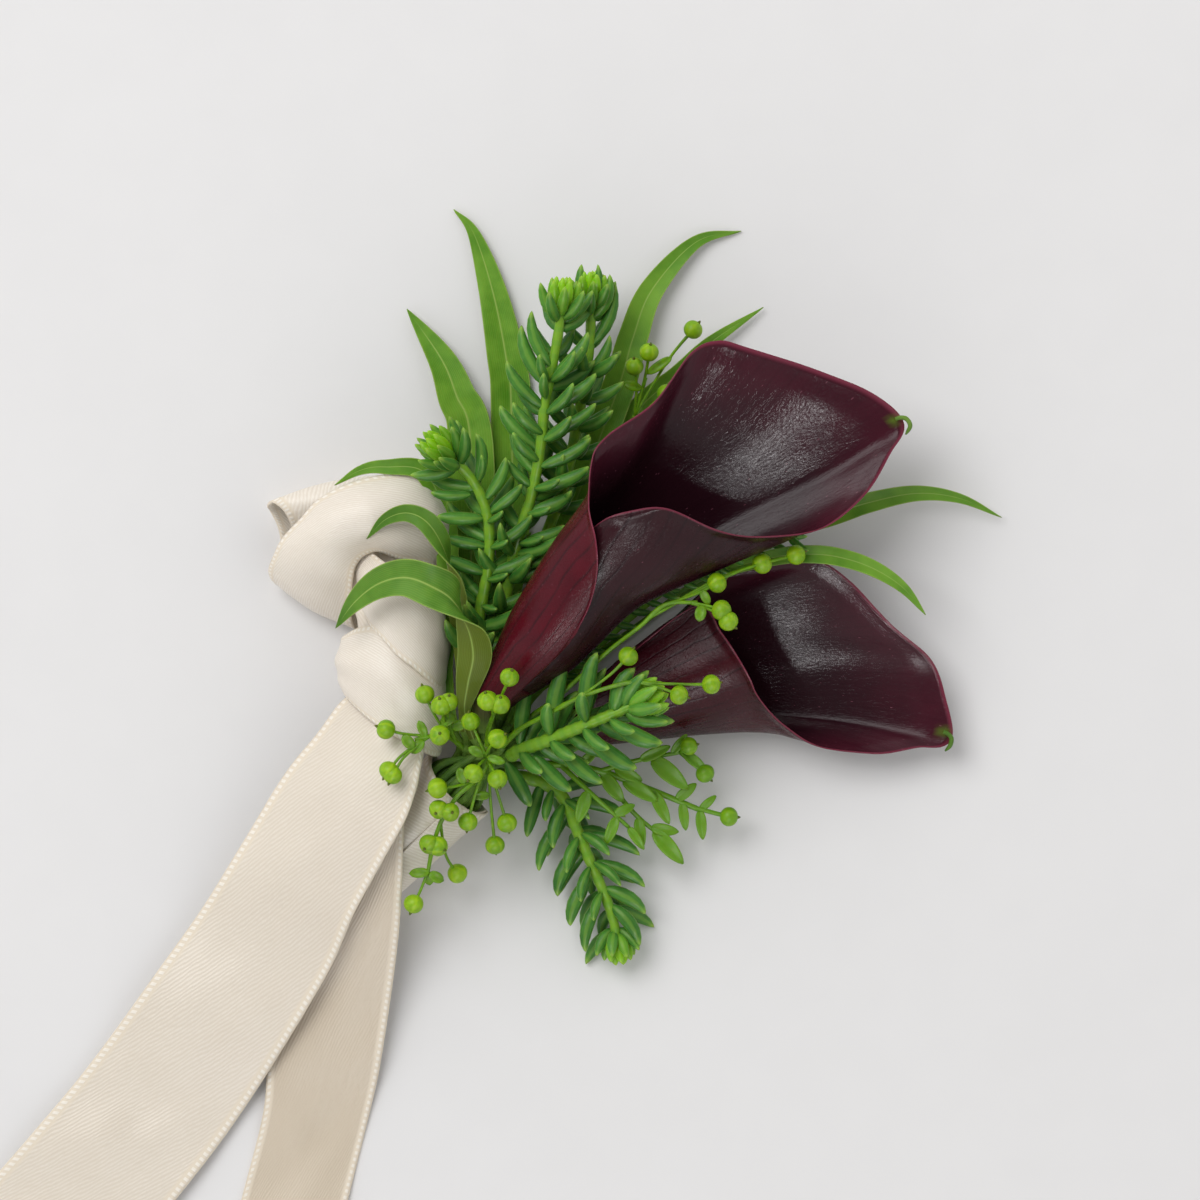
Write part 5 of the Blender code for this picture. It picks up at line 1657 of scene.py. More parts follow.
@dataclass
class BerrySpray:
    """A main stalk with a thin bent stalk to each berry, given as x, y, z and share of the stalk."""

    name: str
    stalk: tuple
    berries: tuple
    bracts: tuple = ()
    seed: int = 1
    radius: float = 1.8
    stalk_radius: float = 0.33
    steps: int = 40
    bract_share: float = 0.35
    sides: int = 18
    lobe: float = 0.025

    def berry(self, made: Surface, centre: Points, away: Points, draw: random.Random) -> None:
        """Adds a berry: a slightly flattened ball with shallow lobes, a dimple and a small nib.

        Args:
            made: the surface to add to.
            centre: its middle.
            away: the direction from its stalk to its nib.
            draw: the source of small differences.
        """
        axis = unit(away + np.array([draw.uniform(-0.3, 0.3) for _ in range(3)]))
        side = unit(np.cross(axis, (0.3, 0.5, 0.8)))
        over = np.cross(side, axis)
        high = np.linspace(-0.5 * math.pi, 0.5 * math.pi, 15)[1:-1]
        turn = turns(self.sides)
        size = self.radius * draw.uniform(0.93, 1.03)
        lobes = 1 + self.lobe * np.cos(3 * turn)[None, :] * np.cos(high)[:, None]
        flat = (np.cos(high)[:, None] * lobes)[..., None] * circles(side[None], over[None], self.sides)
        ball = centre + size * (flat + 0.94 * np.sin(high)[:, None, None] * axis)
        share = high / math.pi + 0.5
        tone = draw.random()
        tip = np.where(share > 0.93, 0.8, 0.0)
        poles = (centre - 0.93 * size * axis, centre + 0.92 * size * axis)
        places = spread(np.linspace(0, 1, self.sides + 1), share)
        made.rings(ball, places, tone=tone, tip=tip, poles=poles)
        nib = centre + size * axis * np.array((0.86, 1.02, 1.2))[:, None]
        made.tube(nib, np.array((0.34, 0.26, 0.1)), 7, tone=tone, tip=1.0)

    def _bract(self, made: Surface, root: Points, tip: Points, draw: random.Random) -> None:
        """Adds a small leaf on a stalk: a narrow curved blade.

        Args:
            made: the surface to add to.
            root: where it starts.
            tip: its tip.
            draw: the source of small differences.
        """
        s = np.linspace(0, 1, 9)[:, None]
        bend = 0.5 * (root + tip) + np.array((0.0, 0.0, 0.25 * np.linalg.norm(tip - root)))
        line = bent_line(root, bend, tip, s)
        side = unit(np.cross(tangents(line), UP + 0.01))
        half = 0.75 * (s**0.6 * (1 - s) ** 0.6 / 0.435) * draw.uniform(0.9, 1.2) + 0.05
        x = np.linspace(-1, 1, 5)
        sheet = line[:, None, :] + (half * x[None, :])[..., None] * side[:, None, :]
        sheet[..., 2] += 0.25 * np.abs(x)[None, :] * half
        made.shell(sheet, 0.28, spread(np.linspace(0, 1, 5), s[:, 0]), tone=draw.random())

    def build(self, look: Material) -> None:
        """Builds the spray as one piece.

        Args:
            look: the berries' material.
        """
        draw = random.Random(self.seed)
        stalks, fruit = Surface(), Surface()
        path = smooth_path(self.stalk, self.steps)
        knots = 1 + 0.25 * np.exp(-(((np.arange(self.steps) % 13) - 6) ** 2) / 1.5)
        stalks.tube(path, 1.3 * self.stalk_radius * np.linspace(1.05, 0.8, self.steps) * knots, 8)
        for x, y, z, share in self.berries:
            centre = np.array((x, y, z))
            i = int(np.clip(round(share * (self.steps - 1)), 0, self.steps - 2))
            start = path[i]
            reach = centre - start
            bend = start + 0.5 * reach + 0.12 * np.linalg.norm(reach) * unit(path[i + 1] - path[i])
            twig = smooth_path((start, bend, centre), 12)
            thin = self.stalk_radius * (0.82 + 0.3 * np.abs(np.linspace(-1, 1, 12)) ** 4)
            stalks.tube(twig, thin, 7)
            self.berry(fruit, centre, twig[-1] - twig[-3], draw)
            if draw.random() < self.bract_share:
                aside = unit(np.cross(twig[5] - twig[4], UP))
                self._bract(stalks, twig[4], twig[4] + 3.0 * aside + 0.6 * UP, draw)
        for root, tip in self.bracts:
            self._bract(stalks, np.array(root), np.array(tip), draw)
        stalks.as_stalk()
        fruit.merge(stalks)
        fruit.build(f"{self.name}_spray", look, Slot.BERRY, (self.name,))


BERRY_SPRAYS = (
    BerrySpray(
        "berries_left",
        (head_root(160, 52), (2.2, 10.6, 16), (1, 11, 18.8), (-1.6, 11.2, 20.2), (-4.4, 10.6, 20.6)),
        ((-9.4, 12.4, 21.6, 0.8), (-8.9, 5.2, 21.4, 0.8), (-8.2, 4.4, 21.6, 0.8), (-2.6, 18.5, 23, 0.4),
         (0.3, 16.6, 24.4, 0.2), (1.6, 17.2, 24, 0.2), (0, 11.4, 24.8, 0.4)),
        (((-2.4, 11, 20.4), (-3.7, 13.9, 21)), ((-2.8, 10.6, 20.6), (-4.9, 8.2, 20))), 21,
    ),
    BerrySpray(
        "berries_lower",
        (head_root(-100, 60, 0.8), (6.5, 3.4, 18), (3.2, 0.8, 18.8), (0.4, -3.4, 17.4), (-1.2, -8, 16),
         (-2.2, -13, 13.4)),
        ((-0.4, 2.1, 20.6, 0.15), (-0.2, -1.6, 19.4, 0.4), (1.8, -2.1, 19.6, 0.4), (-1.9, -7.7, 17.8, 0.7),
         (-0.3, -8.1, 17.6, 0.7), (3, -12.9, 10.6, 0.6), (-4.6, -18.2, 13.6, 1)),
        (((-1.8, -12.6, 13.8), (-5.4, -12.9, 13.2)), ((-2.1, -12.8, 13.4), (-1.8, -14.9, 12.6)),
         ((-2, -12.8, 13.6), (0.6, -14.2, 13))), 22,
    ),
    BerrySpray(
        "berries_hub",
        (head_root(-60, 76), (8.6, 6.4, 17.4), (8, 8, 21.6)),
        ((5.4, 13.8, 24.2, 1), (10.1, 10.8, 25, 1), (5.9, 4.7, 23.6, 0.8), (10.1, 3.7, 22.6, 0.7),
         (4.9, -3.8, 17.2, 0.5), (11.7, -4, 15.6, 0.5), (9.6, -7.9, 13, 0.4)),
        (((8.2, 7.6, 21.4), (11.4, 6.6, 22)), ((7.9, 7.8, 21.2), (5, 9.2, 21.8))), 23,
    ),
    BerrySpray(
        "berries_top",
        (head_root(84, 74), (8.4, 12, 18), (9.4, 15, 23)),
        ((8.4, 17.4, 26.6, 1), (10.6, 16.8, 26.6, 1), (12.2, 21.5, 28, 0.8)), (), 24,
    ),
    BerrySpray(
        "berries_front",
        (head_root(30, 62), (14, 12.4, 18), (18, 14.6, 21.4), (25, 18.2, 25.6), (33, 20.6, 27.2),
         (38, 20.4, 27.4)),
        ((41.8, 18.4, 27.6, 0.9), (47.4, 20.3, 26.6, 1), (32.9, 25.2, 27.4, 0.6)), (), 25,
    ),
    BerrySpray(
        "berries_right",
        (head_root(40, 38), (16, 14.6, 14.4), (21, 18.4, 18.6), (29.4, 26, 23.6), (35, 30.4, 25.6),
         (39.4, 34.2, 26), (45, 34.6, 25.8)),
        ((48.4, 38, 24.4, 0.9), (50.4, 31.3, 26.6, 1), (49.2, 33.2, 26.6, 1), (56.3, 41.4, 22.2, 0.8),
         (62.2, 42.9, 21.7, 0.8)), (), 26,
    ),
    BerrySpray(
        "berries_back",
        (head_root(66, -44), (14.8, 19.4, 2.8), (22.2, 36, 3.8), (27.6, 52, 4.8), (33.6, 66, 6.4),
         (36, 74, 8)),
        ((36.6, 78.4, 10, 1), (44.3, 82.4, 9, 0.9), (39.6, 71.2, 8.6, 0.85), (34, 75.9, 9.6, 0.9)),
        (((36.2, 74.6, 8.4), (40.6, 77.6, 9)), ((35.4, 72, 7.6), (32.2, 73, 8.4))), 27,
    ),
)


@dataclass
class LimeSprig:
    """A branched lime-green stem with pairs of soft pointed leaves and a few berries."""

    name: str = "lime_sprig"
    runs: tuple = (
        (head_root(-14, 14), (21, 6.2, 9.4), (28, 5, 9.4), (36.8, 1.8, 8.6), (45.5, -1.8, 7.6)),
        ((28, 5, 9.4), (35, 7, 9.6), (42.6, 8.4, 9.6)),
        ((21, 6.2, 9.4), (27, 0.6, 11.6), (33, -4.8, 9.4)),
        ((28, 5, 9.4), (34, -2.4, 8.2), (39.6, -7, 6.8)),
    )
    leaves: tuple = (
        (33, -4.8, 35.5, -8.4, 9), (38.5, -3.7, 42.2, -10.8, 6.8), (42.9, 9.1, 46.5, 5.2, 9.4),
        (45.3, -3, 46, -6.6, 7.2), (46.2, -1, 48.1, 0.5, 7.6), (36.9, 6.6, 42.9, 2.3, 9.2),
        (30.1, 6.1, 35, 3.5, 9.6), (32.4, 4.4, 37.6, 0, 9.2), (35, 6.8, 39.9, 9.2, 9.8),
        (28, 4.4, 31.8, 0, 9.4), (37.6, 1.8, 39.9, -3.8, 8.4), (35, -3, 35.4, -8, 8),
        (24, 5.8, 27.5, 8.8, 9.4), (26, 1.4, 24.2, -3.6, 10.6), (30.5, -2.4, 33.8, -1, 10),
        (31, -3.2, 29.2, -7.4, 9.4), (37, -5.2, 41.4, -5.6, 7.2), (40.4, 8, 43, 11.2, 9.8),
        (41, -0.2, 44.6, 2.6, 8.2), (42.5, -0.8, 43, -5, 7.6),
    )
    berries: tuple = ((43.6, 9.4, 11), (46.4, 4.6, 9.6), (50.6, -3, 7.4))
    radii: tuple[float, ...] = (0.7, 0.5, 0.5, 0.5)
    berry_radius: float = 1.7
    leaf_stretch: float = 1.08
    seed: int = 31

    def build(self, look: Material) -> None:
        """Builds the sprig as one piece.

        Args:
            look: its material.
        """
        draw = random.Random(self.seed)
        helper = BerrySpray("lime", (), (), radius=self.berry_radius)
        stalks, fruit = Surface(), Surface()
        paths = [smooth_path(run, 30) for run in self.runs]
        for path, radius in zip(paths, self.radii):
            stalks.tube(path, radius * np.linspace(1.0, 0.7, 30), 8)
        for x, y, tip_x, tip_y, z in self.leaves:
            spots = np.vstack(paths)
            near = spots[np.argmin(np.hypot(spots[:, 0] - x, spots[:, 1] - y))]
            tip = np.array((tip_x, tip_y, z))
            self._soft_leaf(fruit, near, near + self.leaf_stretch * (tip - near), draw)
        for centre in self.berries:
            start = paths[0][-2] if centre[1] < 2 else paths[1][-2]
            twig = smooth_path((start, 0.5 * (start + np.array(centre)) + 0.4 * UP, centre), 10)
            stalks.tube(twig, 0.42, 7)
            helper.berry(fruit, np.array(centre), twig[-1] - twig[-3], draw)
        stalks.as_stalk()
        fruit.merge(stalks)
        fruit.build("lime_sprig_leaves", look, Slot.LIME, (self.name,))

    @staticmethod
    def _soft_leaf(made: Surface, root: Points, tip: Points, draw: random.Random) -> None:
        """Adds a soft leaf: a pointed blade, cupped across and bent down at its tip.

        Args:
            made: the surface to add to.
            root: where it leaves the stem.
            tip: its tip.
            draw: the source of small differences.
        """
        s = np.linspace(0, 1, 13)[:, None]
        length = np.linalg.norm(tip - root)
        bend = 0.5 * (root + tip) + np.array((0.0, 0.0, 0.22 * length))
        line = bent_line(root, bend, tip, s)
        side = unit(np.cross(tangents(line), UP + 0.01))
        half = 0.16 * length * draw.uniform(0.85, 1.15) * (s**0.55 * (1 - s) ** 0.75 / 0.405) + 0.1
        x = np.linspace(-1, 1, 7)
        sheet = line[:, None, :] + (half * x[None, :])[..., None] * side[:, None, :]
        sheet[..., 2] += 0.35 * np.abs(x)[None, :] ** 1.3 * half
        made.shell(sheet, 0.34, spread(0.25 + 0.25 * x, s[:, 0]), tone=draw.random())


# Ribbons


@dataclass
class Band:
    """A length of ribbon between the points of its two edges.

    Edges with as many points as each other are paired point by point, and others by the length
    run. The bow lifts the middle away from the hollow side, by one value or by values along it.
    The swell rolls the ribbon up and down from roll_start on. The shade is painted shade: it
    darkens the cloth towards the satin's folded colour where the ribbon lies low or in shadow.
    """

    left: tuple
    right: tuple
    bow: tuple = (0.0,)
    inside: Inside = Inside.DOWN
    rows: int = 220
    columns: int = 40
    pleats: float = 0.0
    pleat_depth: float = 0.0
    wave: float = 0.0
    seed: int = 1
    shade: float = 0.0
    swell: float = 0.0
    roll_length: float = 31.0
    roll_start: float = 28.0
    roll_fade: float = 24.0
    wave_length: float = 9.0
    selvage_extra: float = 0.16

    def sheet(self) -> Points:
        """The ribbon's middle surface.

        Straight lines join the two edges. Along them a parabola gives the bow, a cosine gives the
        pleats, and slow ripples that fade out at the edges give the cloth's unevenness.

        Returns:
            Rows along the ribbon by columns across it by 3.
        """
        if len(self.left) == len(self.right):
            a, b = np.array(self.left, float), np.array(self.right, float)
            both = smooth_path(np.hstack([0.5 * (a + b), a, b]), self.rows)
            left, right = both[:, 3:6], both[:, 6:9]
        else:
            left, right = smooth_path(self.left, self.rows), smooth_path(self.right, self.rows)
        middle = 0.5 * (left + right)
        normal = unit(np.cross(tangents(middle), left - right))
        if self.inside is Inside.CENTRE:
            away = middle - middle.mean(0)
        else:
            away = np.broadcast_to(UP, middle.shape)
        sign = 1.0 if float(np.sum(normal * away)) > 0 else -1.0
        s = np.linspace(0, 1, self.columns)[None, :]
        along = np.linspace(0, 1, self.rows)
        bow = np.interp(along, np.linspace(0, 1, len(self.bow)), self.bow)
        run = run_along(middle)[:, None]
        lift = bow[:, None] * 4 * s * (1 - s)
        pleats = np.sin(2 * math.pi * self.pleats * s + 0.05 * run)
        lift = lift + self.pleat_depth * pleats * np.sin(math.pi * s) ** 0.7
        slow = ripple(run / self.wave_length, 3.2 * s, self.seed)
        lift = lift + self.wave * slow * (0.35 + 0.65 * np.sin(math.pi * s))
        uneven = 0.4 * ripple(run / 20.0, s, self.seed)
        roll = np.sin(2 * math.pi * run / self.roll_length + 0.9 * s + uneven)
        lift = lift + self.swell * smoothstep((run - self.roll_start) / self.roll_fade) * roll
        sheet = left[:, None, :] * (1 - s[..., None]) + right[:, None, :] * s[..., None]
        return sheet + sign * lift[..., None] * normal[:, None, :]

    def places(self, sheet: Points) -> Points:
        """Texture places in millimetres, across the flat ribbon and along its middle line."""
        columns = sheet.shape[1]
        return spread(np.linspace(0, RIBBON_WIDTH, columns), run_along(sheet[:, columns // 2]))

    def add_to(self, made: Surface) -> float:
        """Adds the ribbon, a little thicker in its selvages.

        Args:
            made: the surface to add to.

        Returns:
            The length of its middle line, in millimetres.
        """
        sheet = self.sheet()
        places = self.places(sheet)
        from_edge = np.minimum(places[..., 0], RIBBON_WIDTH - places[..., 0])
        thick = RIBBON_THICKNESS + self.selvage_extra * (1 - smoothstep((from_edge - 1.2) / 0.5))
        made.shell(sheet, thick, places, tone=self.shade, floor=0.02)
        return float(run_along(sheet[:, self.columns // 2])[-1])


LOOP_A = (
    (-0.7, 35.7, 8), (0.2, 40.2, 6.5), (0.9, 45.5, 5.5), (0.7, 50.8, 6), (-0.5, 55.3, 8.5), (-3.5, 57, 11),
    (-8.4, 57, 12.4), (-15, 55.6, 12.6), (-21, 52.7, 12), (-24.3, 49.2, 11.2), (-27.5, 45.8, 10),
    (-29, 43, 8.4), (-30, 40.4, 6), (-29.4, 38.5, 3.2), (-27.8, 38.5, 1.6), (-27.6, 42, 1.2),
    (-28.3, 47.2, 1.6), (-29.7, 50.4, 2.8), (-30.3, 51.4, 4.8), (-29.4, 52.1, 6.6), (-27.6, 50.9, 7),
    (-26.4, 49, 6), (-25.9, 47.8, 4.4), (-23.6, 46.4, 3), (-19.2, 42, 2.4), (-12.2, 35, 3),
)
LOOP_B = (
    (-3.5, 35, 8), (-2.1, 36.4, 7), (-1, 37.1, 6.6), (-0.3, 38.5, 8), (-0.7, 40.2, 10), (-2.8, 41.3, 12),
    (-6.8, 42, 13.2), (-9.6, 43.2, 13.6), (-11.5, 43.6, 13.6), (-13.6, 42.7, 13.4), (-14.9, 40.9, 13),
    (-15.4, 38.5, 12), (-15.7, 34.6, 9), (-15.4, 31.1, 5.6), (-14.3, 30.1, 3), (-11.9, 32.4, 1.6),
    (-8.4, 39.4, 1.2), (-5.2, 49, 1.6), (-2.8, 54.6, 3.6), (-2.1, 56.3, 6.4), (-2.4, 56.3, 8.6),
    (-3.1, 54.2, 9), (-3.8, 50.8, 8), (-4.9, 45.5, 6), (-5.6, 40.2, 5), (-6.3, 35, 5),
)
LOW_WRAP_L = (
    (-11.9, 16.4, 4.2), (-15, 17.5, 6), (-16.8, 19.2, 9), (-15.9, 17.7, 12.6), (-13.1, 14.9, 15.4),
    (-9.6, 12.2, 17.2), (-6.1, 10.3, 17.6), (-2.8, 8.4, 16), (-0.7, 7.7, 12.5), (-0.3, 8.8, 8.5),
    (-2.8, 10.8, 5.4), (-6.3, 13.3, 4.2),
)
LOW_WRAP_H = (
    (-11.2, 28, 4.2), (-15.4, 28, 6), (-17, 28.3, 9.5), (-16.1, 29, 13), (-14, 30.1, 16.2),
    (-10.5, 30.4, 18.2), (-6.6, 28.7, 18.8), (-2.8, 25.4, 17.4), (-0.3, 23.1, 14), (0.2, 22, 10),
    (-1.8, 23.1, 6), (-6.3, 26.2, 4.2),
)
HIGH_WRAP_L = (
    (-10.8, 32.9, 4), (-12.9, 33.2, 7.5), (-13.3, 33.1, 11.5), (-12.9, 32.2, 15.2), (-11.9, 30.4, 17.8),
    (-10, 28.3, 19.4), (-7.2, 25.2, 20), (-4.7, 23.3, 19.6), (-2.1, 21, 17.8), (-0.5, 19.4, 14.6),
    (0, 18.9, 11), (-1, 19.6, 7.4), (-4.2, 22.4, 4.8),
)
HIGH_WRAP_H = (
    (-8.6, 39, 4.6), (-12.4, 41, 7), (-13.4, 42.4, 9.6), (-12.4, 43.4, 11.9), (-10.2, 41.9, 15),
    (-7.7, 40.2, 17.8), (-5.2, 39.7, 18.6), (-2.8, 38.5, 18.4), (-0.7, 36.4, 16.8), (0.5, 33.9, 14.2),
    (0.7, 32.2, 11), (-0.3, 32.2, 7.4), (-3.5, 34.3, 5),
)
FRONT_L = (
    (-7.7, 22.4, 12), (-11.9, 19.2, 11), (-16.6, 17.7, 10.4), (-21.5, 11.5, 9.6), (-27.8, 3.5, 8),
    (-39, -14.9, 4.6), (-50, -30.8, 2.4), (-61.6, -46.7, 1.7), (-70.9, -57.9, 1.6), (-80.8, -69.3, 1.5),
)
FRONT_R = (
    (-2.6, 14, 13), (-2.8, 9.1, 16.6), (-3.5, 5.2, 18.2), (-4.2, 1.8, 18.6), (-6.1, -3.5, 18.6),
    (-9.1, -8.9, 17.6), (-14.9, -19.4, 13.6), (-19.9, -30.3, 9), (-27.8, -43.8, 4), (-37.1, -57.9, 1.8),
    (-46.4, -70, 1.6), (-54.2, -79.1, 1.5),
)
BACK_L = (
    (-13.9, 16.5, 10), (-17, 7, 10.6), (-20.5, -3.5, 10.2), (-23.6, -14, 8.4), (-27, -24.5, 5.6),
    (-29.5, -35, 3.2), (-30.4, -44.3, 1.8), (-31, -54.8, 0.7), (-34.8, -70, 0.5), (-37.4, -79.8, 0.5),
)
BACK_R = (
    (-5.2, 17.5, 13), (-5.6, 7, 15.6), (-6.3, -3.5, 15.4), (-6.6, -8.2, 14.4), (-6.8, -15.7, 12.2),
    (-7.3, -22.9, 9.6), (-8.9, -35.2, 5), (-10.5, -45.5, 2.2), (-11.9, -52.3, 1), (-16.3, -70, 0.5),
    (-18.7, -79.1, 0.5),
)


@dataclass
class TiedRibbon:
    """The tied ribbon: a folded loop, the two wraps of the knot on a core, and two tails."""

    bands: tuple[Band, ...] = (
        Band(LOOP_A, LOOP_B, (0.6, 2.0, 4.4, 5.0, 4.4, 2.0, 0.9, 1.0, 1.6, 2.2, 1.6, 0.6), Inside.CENTRE,
             260, 40, 0.0, 0.0, 0.35, 3),
        Band(LOW_WRAP_L, LOW_WRAP_H, (1.2,), Inside.CENTRE, 150, 36, 2.0, 0.22, 0.2, 4),
        Band(HIGH_WRAP_L, HIGH_WRAP_H, (1.2,), Inside.CENTRE, 150, 36, 1.5, 0.25, 0.2, 5),
        # Painted shade: the front tail's shade 0.5 darkens it where it lies low by the floor, and the back
        # tail's 1.5 darkens it under the front tail, where it also shows the duller reverse side.
        Band(FRONT_L, FRONT_R, (2.4, 1.6, 0.8, 0.7, 0.5, 0.3), Inside.DOWN, 240, 40, 0.0, 0.0,
             0.4, 6, 0.5, 0.45),
        Band(BACK_L, BACK_R, (1.8, 1.2, 0.6, 0.3, 0.2), Inside.DOWN, 200, 36, 0.0, 0.0, 0.3, 7,
             1.5, 0.4),
    )
    core: tuple = (
        (-8.6, 44.5, 6.6, 5.4, 2.4), (-8.9, 41, 7.2, 7.6, 3.2), (-8.9, 36, 8.8, 7.2, 4.2),
        (-8.2, 31, 10.6, 6.2, 5.4), (-8.4, 25, 11.2, 6.6, 6.2),
        (-8.6, 19, 11.2, 6, 5.6), (-7.8, 14.6, 11.6, 3.4, 3.6),
    )

    def build(self, satin: Material) -> None:
        """Args:
            satin: the ribbon's material.
        """
        self._core(satin)
        cloth = Surface()
        length = 0.0
        for band in self.bands:
            length += band.add_to(cloth)
        piece = cloth.build("tied_ribbon", satin, Slot.SATIN, ("ribbon_tie",))
        LOG.info("tied_ribbon: %.0f mm long", length)

    def _core(self, look: Material) -> None:
        """Builds the knot's filling, the ribbon's hidden turns: rings of cloth with soft folds.

        Args:
            look: the satin.
        """
        path = smooth_path(self.core, 60)
        turn = turns(48)
        across = path[:, 3:4] * np.cos(turn) * (1 + 0.03 * np.sin(5 * turn))
        high = path[:, 4:5] * np.sin(turn) * (1 + 0.03 * np.sin(5 * turn))
        rings = path[:, None, :3] + across[..., None] * np.array((1.0, 0.0, 0.0)) + high[..., None] * UP
        made = Surface()
        # Painted shade: tone 0.4 darkens the knot's core, deep between the wraps, towards the satin's folded
        # colour.
        made.rings(rings, spread(np.linspace(2, 23, 49), run_along(path)), tone=0.4)
        made.build("ribbon_core", look, Slot.SATIN)


@dataclass
class WoundRibbon:
    """The ribbon wound round the stems: two turns, the outer one a little larger."""

    turns: float = 2.06
    rows: int = 260
    columns: int = 26
    inset: float = 0.78
    lean: float = 3.0
    name: str = "ribbon_winding"

    def build(self, look: Material) -> None:
        """The sheet runs round an ellipse with a flat underside, its inset from the outside shrinks
        with the turns, and its mouth leans over towards the camera's lower side.

        Args:
            look: the satin.
        """
        share = np.linspace(0, 1, self.rows)[:, None]
        turn = 2 * math.pi * self.turns * share + 0.9
        length = COLLAR_MOUTH - COLLAR_BACK - 0.8
        t = COLLAR_BACK + 0.4 + length * np.linspace(0, 1, self.columns)[None, :]
        at = collar_share(t)
        tall = collar_half_height(at)
        inset = self.inset * (1 - share) + 0.22 + 0.12 * ripple(4 * turn, 3 * at, 9)
        lean = -self.lean * np.sin(turn) * at**2
        along = t + np.minimum(lean, 0.0) + 0 * turn
        wide = (COLLAR_HALF_WIDTH - inset) * np.cos(turn)
        high = (tall - inset) * np.sin(turn)
        sheet = along[..., None] * AXIS + wide[..., None] * AXIS_RIGHT
        sheet = sheet + (tall - COLLAR_SUNK + high)[..., None] * UP
        sheet[..., 2] = np.maximum(sheet[..., 2], inset)
        run = run_along(sheet[:, self.columns // 2])
        made = Surface()
        made.shell(sheet, 0.3, spread(np.linspace(0, RIBBON_WIDTH, self.columns), run), tone=0.0)
        piece = made.build(self.name, look, Slot.SATIN, ("ribbon_collar",))


@dataclass
class BoundStems:
    """The stems inside the winding: each plant's stem runs on from its root to the cut end."""

    name: str = "bound_stems"
    wall: float = 1.6
    thickest: float = 1.7

    def build(self, roots: list[tuple[Points, Points, float]], look: Material) -> None:
        """Builds the stems as one piece.

        In the winding they lie packed on a sunflower pattern, then bend out to each root.

        Args:
            roots: each plant's root, the direction in which it goes on, and its radius.
            look: the stems' material.
        """
        made = Surface()
        order = sorted(range(len(roots)), key=lambda k: -roots[k][2])
        for place, k in enumerate(order):
            root, ahead, radius = roots[k]
            turn = GOLDEN_ANGLE * place
            far = math.sqrt((place + 0.5) / len(roots))

            def packed(t: float) -> Points:
                """The stem's place in the winding, t along the axis."""
                inside = max(t, COLLAR_BACK)
                tall = axis_point(inside)[2] + COLLAR_SUNK - self.wall - radius
                wide = COLLAR_HALF_WIDTH - self.wall - radius
                across = wide * math.cos(turn) * AXIS_RIGHT
                return axis_point(t) + far * (across + max(tall, 1.0) * math.sin(turn) * UP)

            points = [packed(t) for t in (BUNDLE_BACK + 0.5, -8.0, 0.0, 5.0)]
            points += [root - 2.5 * ahead, root + 0.6 * ahead]
            made.tube(smooth_path(points, 40), min(radius, self.thickest), 10)
        made.build(self.name, look, Slot.STEM, ("stem_bundle",))


# The studio


@dataclass
class Studio:
    """A pale floor, soft light from the upper left and a camera that looks straight down."""

    centre: tuple[float, float] = (28.0, 35.0)
    distance: float = 4000.0
    frame_width: float = 210.0
    at_height: float = 15.0
    sensor: float = 36.0
    sky_low: float = 0.88
    sky_high: float = 0.2
    key_power: float = 23.0
    key_place: tuple[float, float, float] = (-760.0, 860.0, 1700.0)
    key_size: tuple[float, float] = (1.4, 1.4)
    gloss_powers: tuple[float, float] = (8.0, 8.0)
    gloss_places: tuple = ((280.0, -900.0, 1760.0), (-290.0, -1400.0, 1340.0))
    gloss_size: tuple[float, float] = (0.15, 0.25)
    floor_half: float = 3.0

    def camera(self) -> None:
        """Makes the camera: its lens is the distance times the sensor over the width in view."""
        data = bpy.data.cameras.new("overhead")
        data.sensor_width = self.sensor
        data.lens = self.sensor * (self.distance - self.at_height) / self.frame_width
        data.clip_start, data.clip_end = 0.1, 20.0
        made = linked("overhead", data)
        made.location = (MM * self.centre[0], MM * self.centre[1], MM * self.distance)
        bpy.context.scene.camera = made

    def floor(self, groups: Groups) -> None:
        """Makes the floor, which isn't part of the object.

        Args:
            groups: the shared node groups.
        """
        mesh = bpy.data.meshes.new("floor")
        corner = np.array(((-1, -1, 0), (1, -1, 0), (1, 1, 0), (-1, 1, 0)), float) * self.floor_half
        mesh.from_pydata(corner.tolist(), [], [(0, 1, 2, 3)])
        mesh.materials.append(PaperFinish().build(groups))
        made = linked("floor", mesh)

    def lights(self) -> None:
        """Makes the sky, the soft key light and two lights that only the glossy highlights show."""
        world = bpy.data.worlds.new("studio")
        world.use_nodes = True
        world.node_tree.nodes["Background"].inputs["Color"].default_value = (1.0, 0.995, 0.99, 1.0)
        tree = Tree(world.node_tree)
        way = tree.node("ShaderNodeTexCoord").outputs["Generated"]
        up = tree.node("ShaderNodeSeparateXYZ", {0: way}).outputs["Z"]
        strength = tree.span(up, 0.5, 1.0, self.sky_low, self.sky_high)
        world.node_tree.links.new(strength, world.node_tree.nodes["Background"].inputs["Strength"])
        bpy.context.scene.world = world
        self._soft_light("key", self.key_place, self.key_size, self.key_power)
        for number, (place, power) in enumerate(zip(self.gloss_places, self.gloss_powers), 1):
            light = self._soft_light(f"gloss_{number}", place, self.gloss_size, power)
            light.visible_diffuse = False
        bpy.context.scene.view_settings.view_transform = "Standard"

    def _soft_light(
        self, name: str, place: tuple[float, float, float], size: tuple[float, float], power: float
    ) -> Object:
        """Makes an area light that looks at the middle of the corsage.

        Args:
            name: the light's name.
            place: where it is, in millimetres.
            size: its width and height in metres.
            power: its power in watts.

        Returns:
            The light's object.
        """
        data = bpy.data.lights.new(name, "AREA")
        data.shape = "ELLIPSE"
        data.size, data.size_y = size
        data.energy = power
        made = linked(name, data)
        made.location = MM * Vector(place)
        aim = Vector((MM * self.centre[0], MM * self.centre[1], 0.0)) - made.location
        made.rotation_euler = aim.to_track_quat("-Z", "Y").to_euler()
        return made


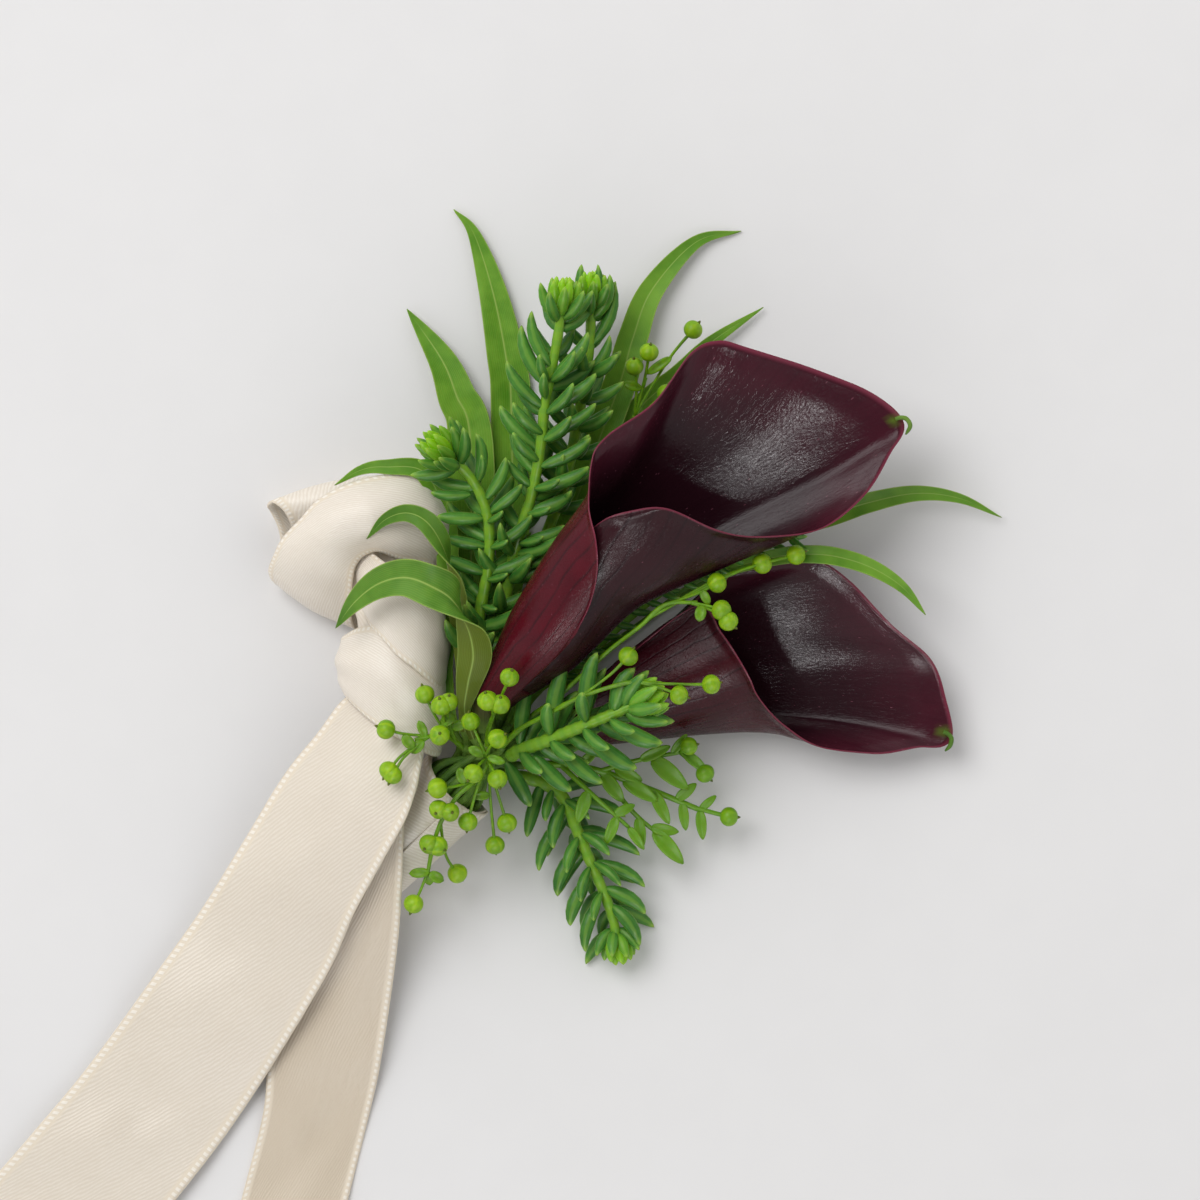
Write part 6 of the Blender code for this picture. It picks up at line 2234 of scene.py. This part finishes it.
@dataclass
class Corsage:
    """The whole corsage: its finishes and its sub-assemblies, built in order."""

    blooms: tuple[CallaBloom, ...] = (
        CallaBloom("calla_upper", UPPER_TUBE, UPPER_RIM, (95, 37), UPPER_HOOK, 41),
        CallaBloom("calla_lower", LOWER_TUBE, LOWER_RIM, (28, 0), LOWER_HOOK, 42, 1.0),
    )

    def build(self, groups: Groups) -> None:
        """Builds every piece and replaces every CAD node.

        Args:
            groups: the shared node groups.
        """
        petal = PetalFinish().build(groups)
        blade = BladeFinish("leaf_blade").build(groups)
        # Painted shade: the curled leaves take darker greens than the other blades, to offset the light that
        # they catch standing high.
        curled = BladeFinish("leaf_curled", screen(68, 116, 26), screen(94, 140, 42)).build(groups)
        fleshy = FleshyFinish("sedum_leaf").build(groups)
        berry = BerryFinish().build(groups)
        lime_tones = screen(94, 146, 8), screen(138, 184, 22), screen(104, 154, 26)
        lime = BerryFinish("lime_leaf_skin", *lime_tones).build(groups)
        stem = StemFinish("stem_skin").build(groups)
        rod = GrainFinish("spadix_skin", screen(70, 34, 22), screen(104, 58, 30)).build(groups)
        satin = SatinFinish("satin").build(groups)
        for bloom in self.blooms:
            bloom.spathe(petal)
            bloom.spadix(rod)
            bloom.stem(stem)
            bloom.tip(stem)
        for leaf in LONG_LEAVES:
            leaf.build(curled if "curled" in leaf.name else blade)
        for sprig in SEDUM_SPRIGS:
            sprig.build(fleshy)
        for spray in BERRY_SPRAYS:
            spray.build(berry)
        LimeSprig().build(lime)
        BoundStems().build(self._roots(), stem)
        TiedRibbon().build(satin)
        WoundRibbon().build(satin)

    def _roots(self) -> list[tuple[Points, Points, float]]:
        """Finds where each plant leaves the bundle's head.

        Returns:
            Rows of its root, its direction there and its radius.
        """
        found = [(leaf.points, 0.8) for leaf in LONG_LEAVES]
        found += [(sprig.points, sprig.stem_radius) for sprig in SEDUM_SPRIGS]
        found += [(spray.stalk, 0.65) for spray in BERRY_SPRAYS]
        found.append((LimeSprig().runs[0], 0.7))
        for bloom in self.blooms:
            path = bloom.axis()[:, :3]
            found.append(((head_root(*bloom.stem_angles, STEM_GAP), tuple(path[0] - tangents(path)[0])), 1.9))
        rows = []
        for points, radius in found:
            root, after = np.array(points[0], float), np.array(points[1], float)
            out = unit(root - axis_point(BUNDLE_HEAD))
            rows.append((root, unit(unit(after - root) + 0.6 * out), radius))
        return rows


def main() -> None:
    logging.basicConfig(level=logging.INFO, format="%(message)s")
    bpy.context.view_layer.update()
    groups = Groups()
    studio = Studio()
    studio.camera()
    studio.floor(groups)
    studio.lights()
    Corsage().build(groups)
    bpy.context.view_layer.update()


if __name__ == "__main__":
    main()
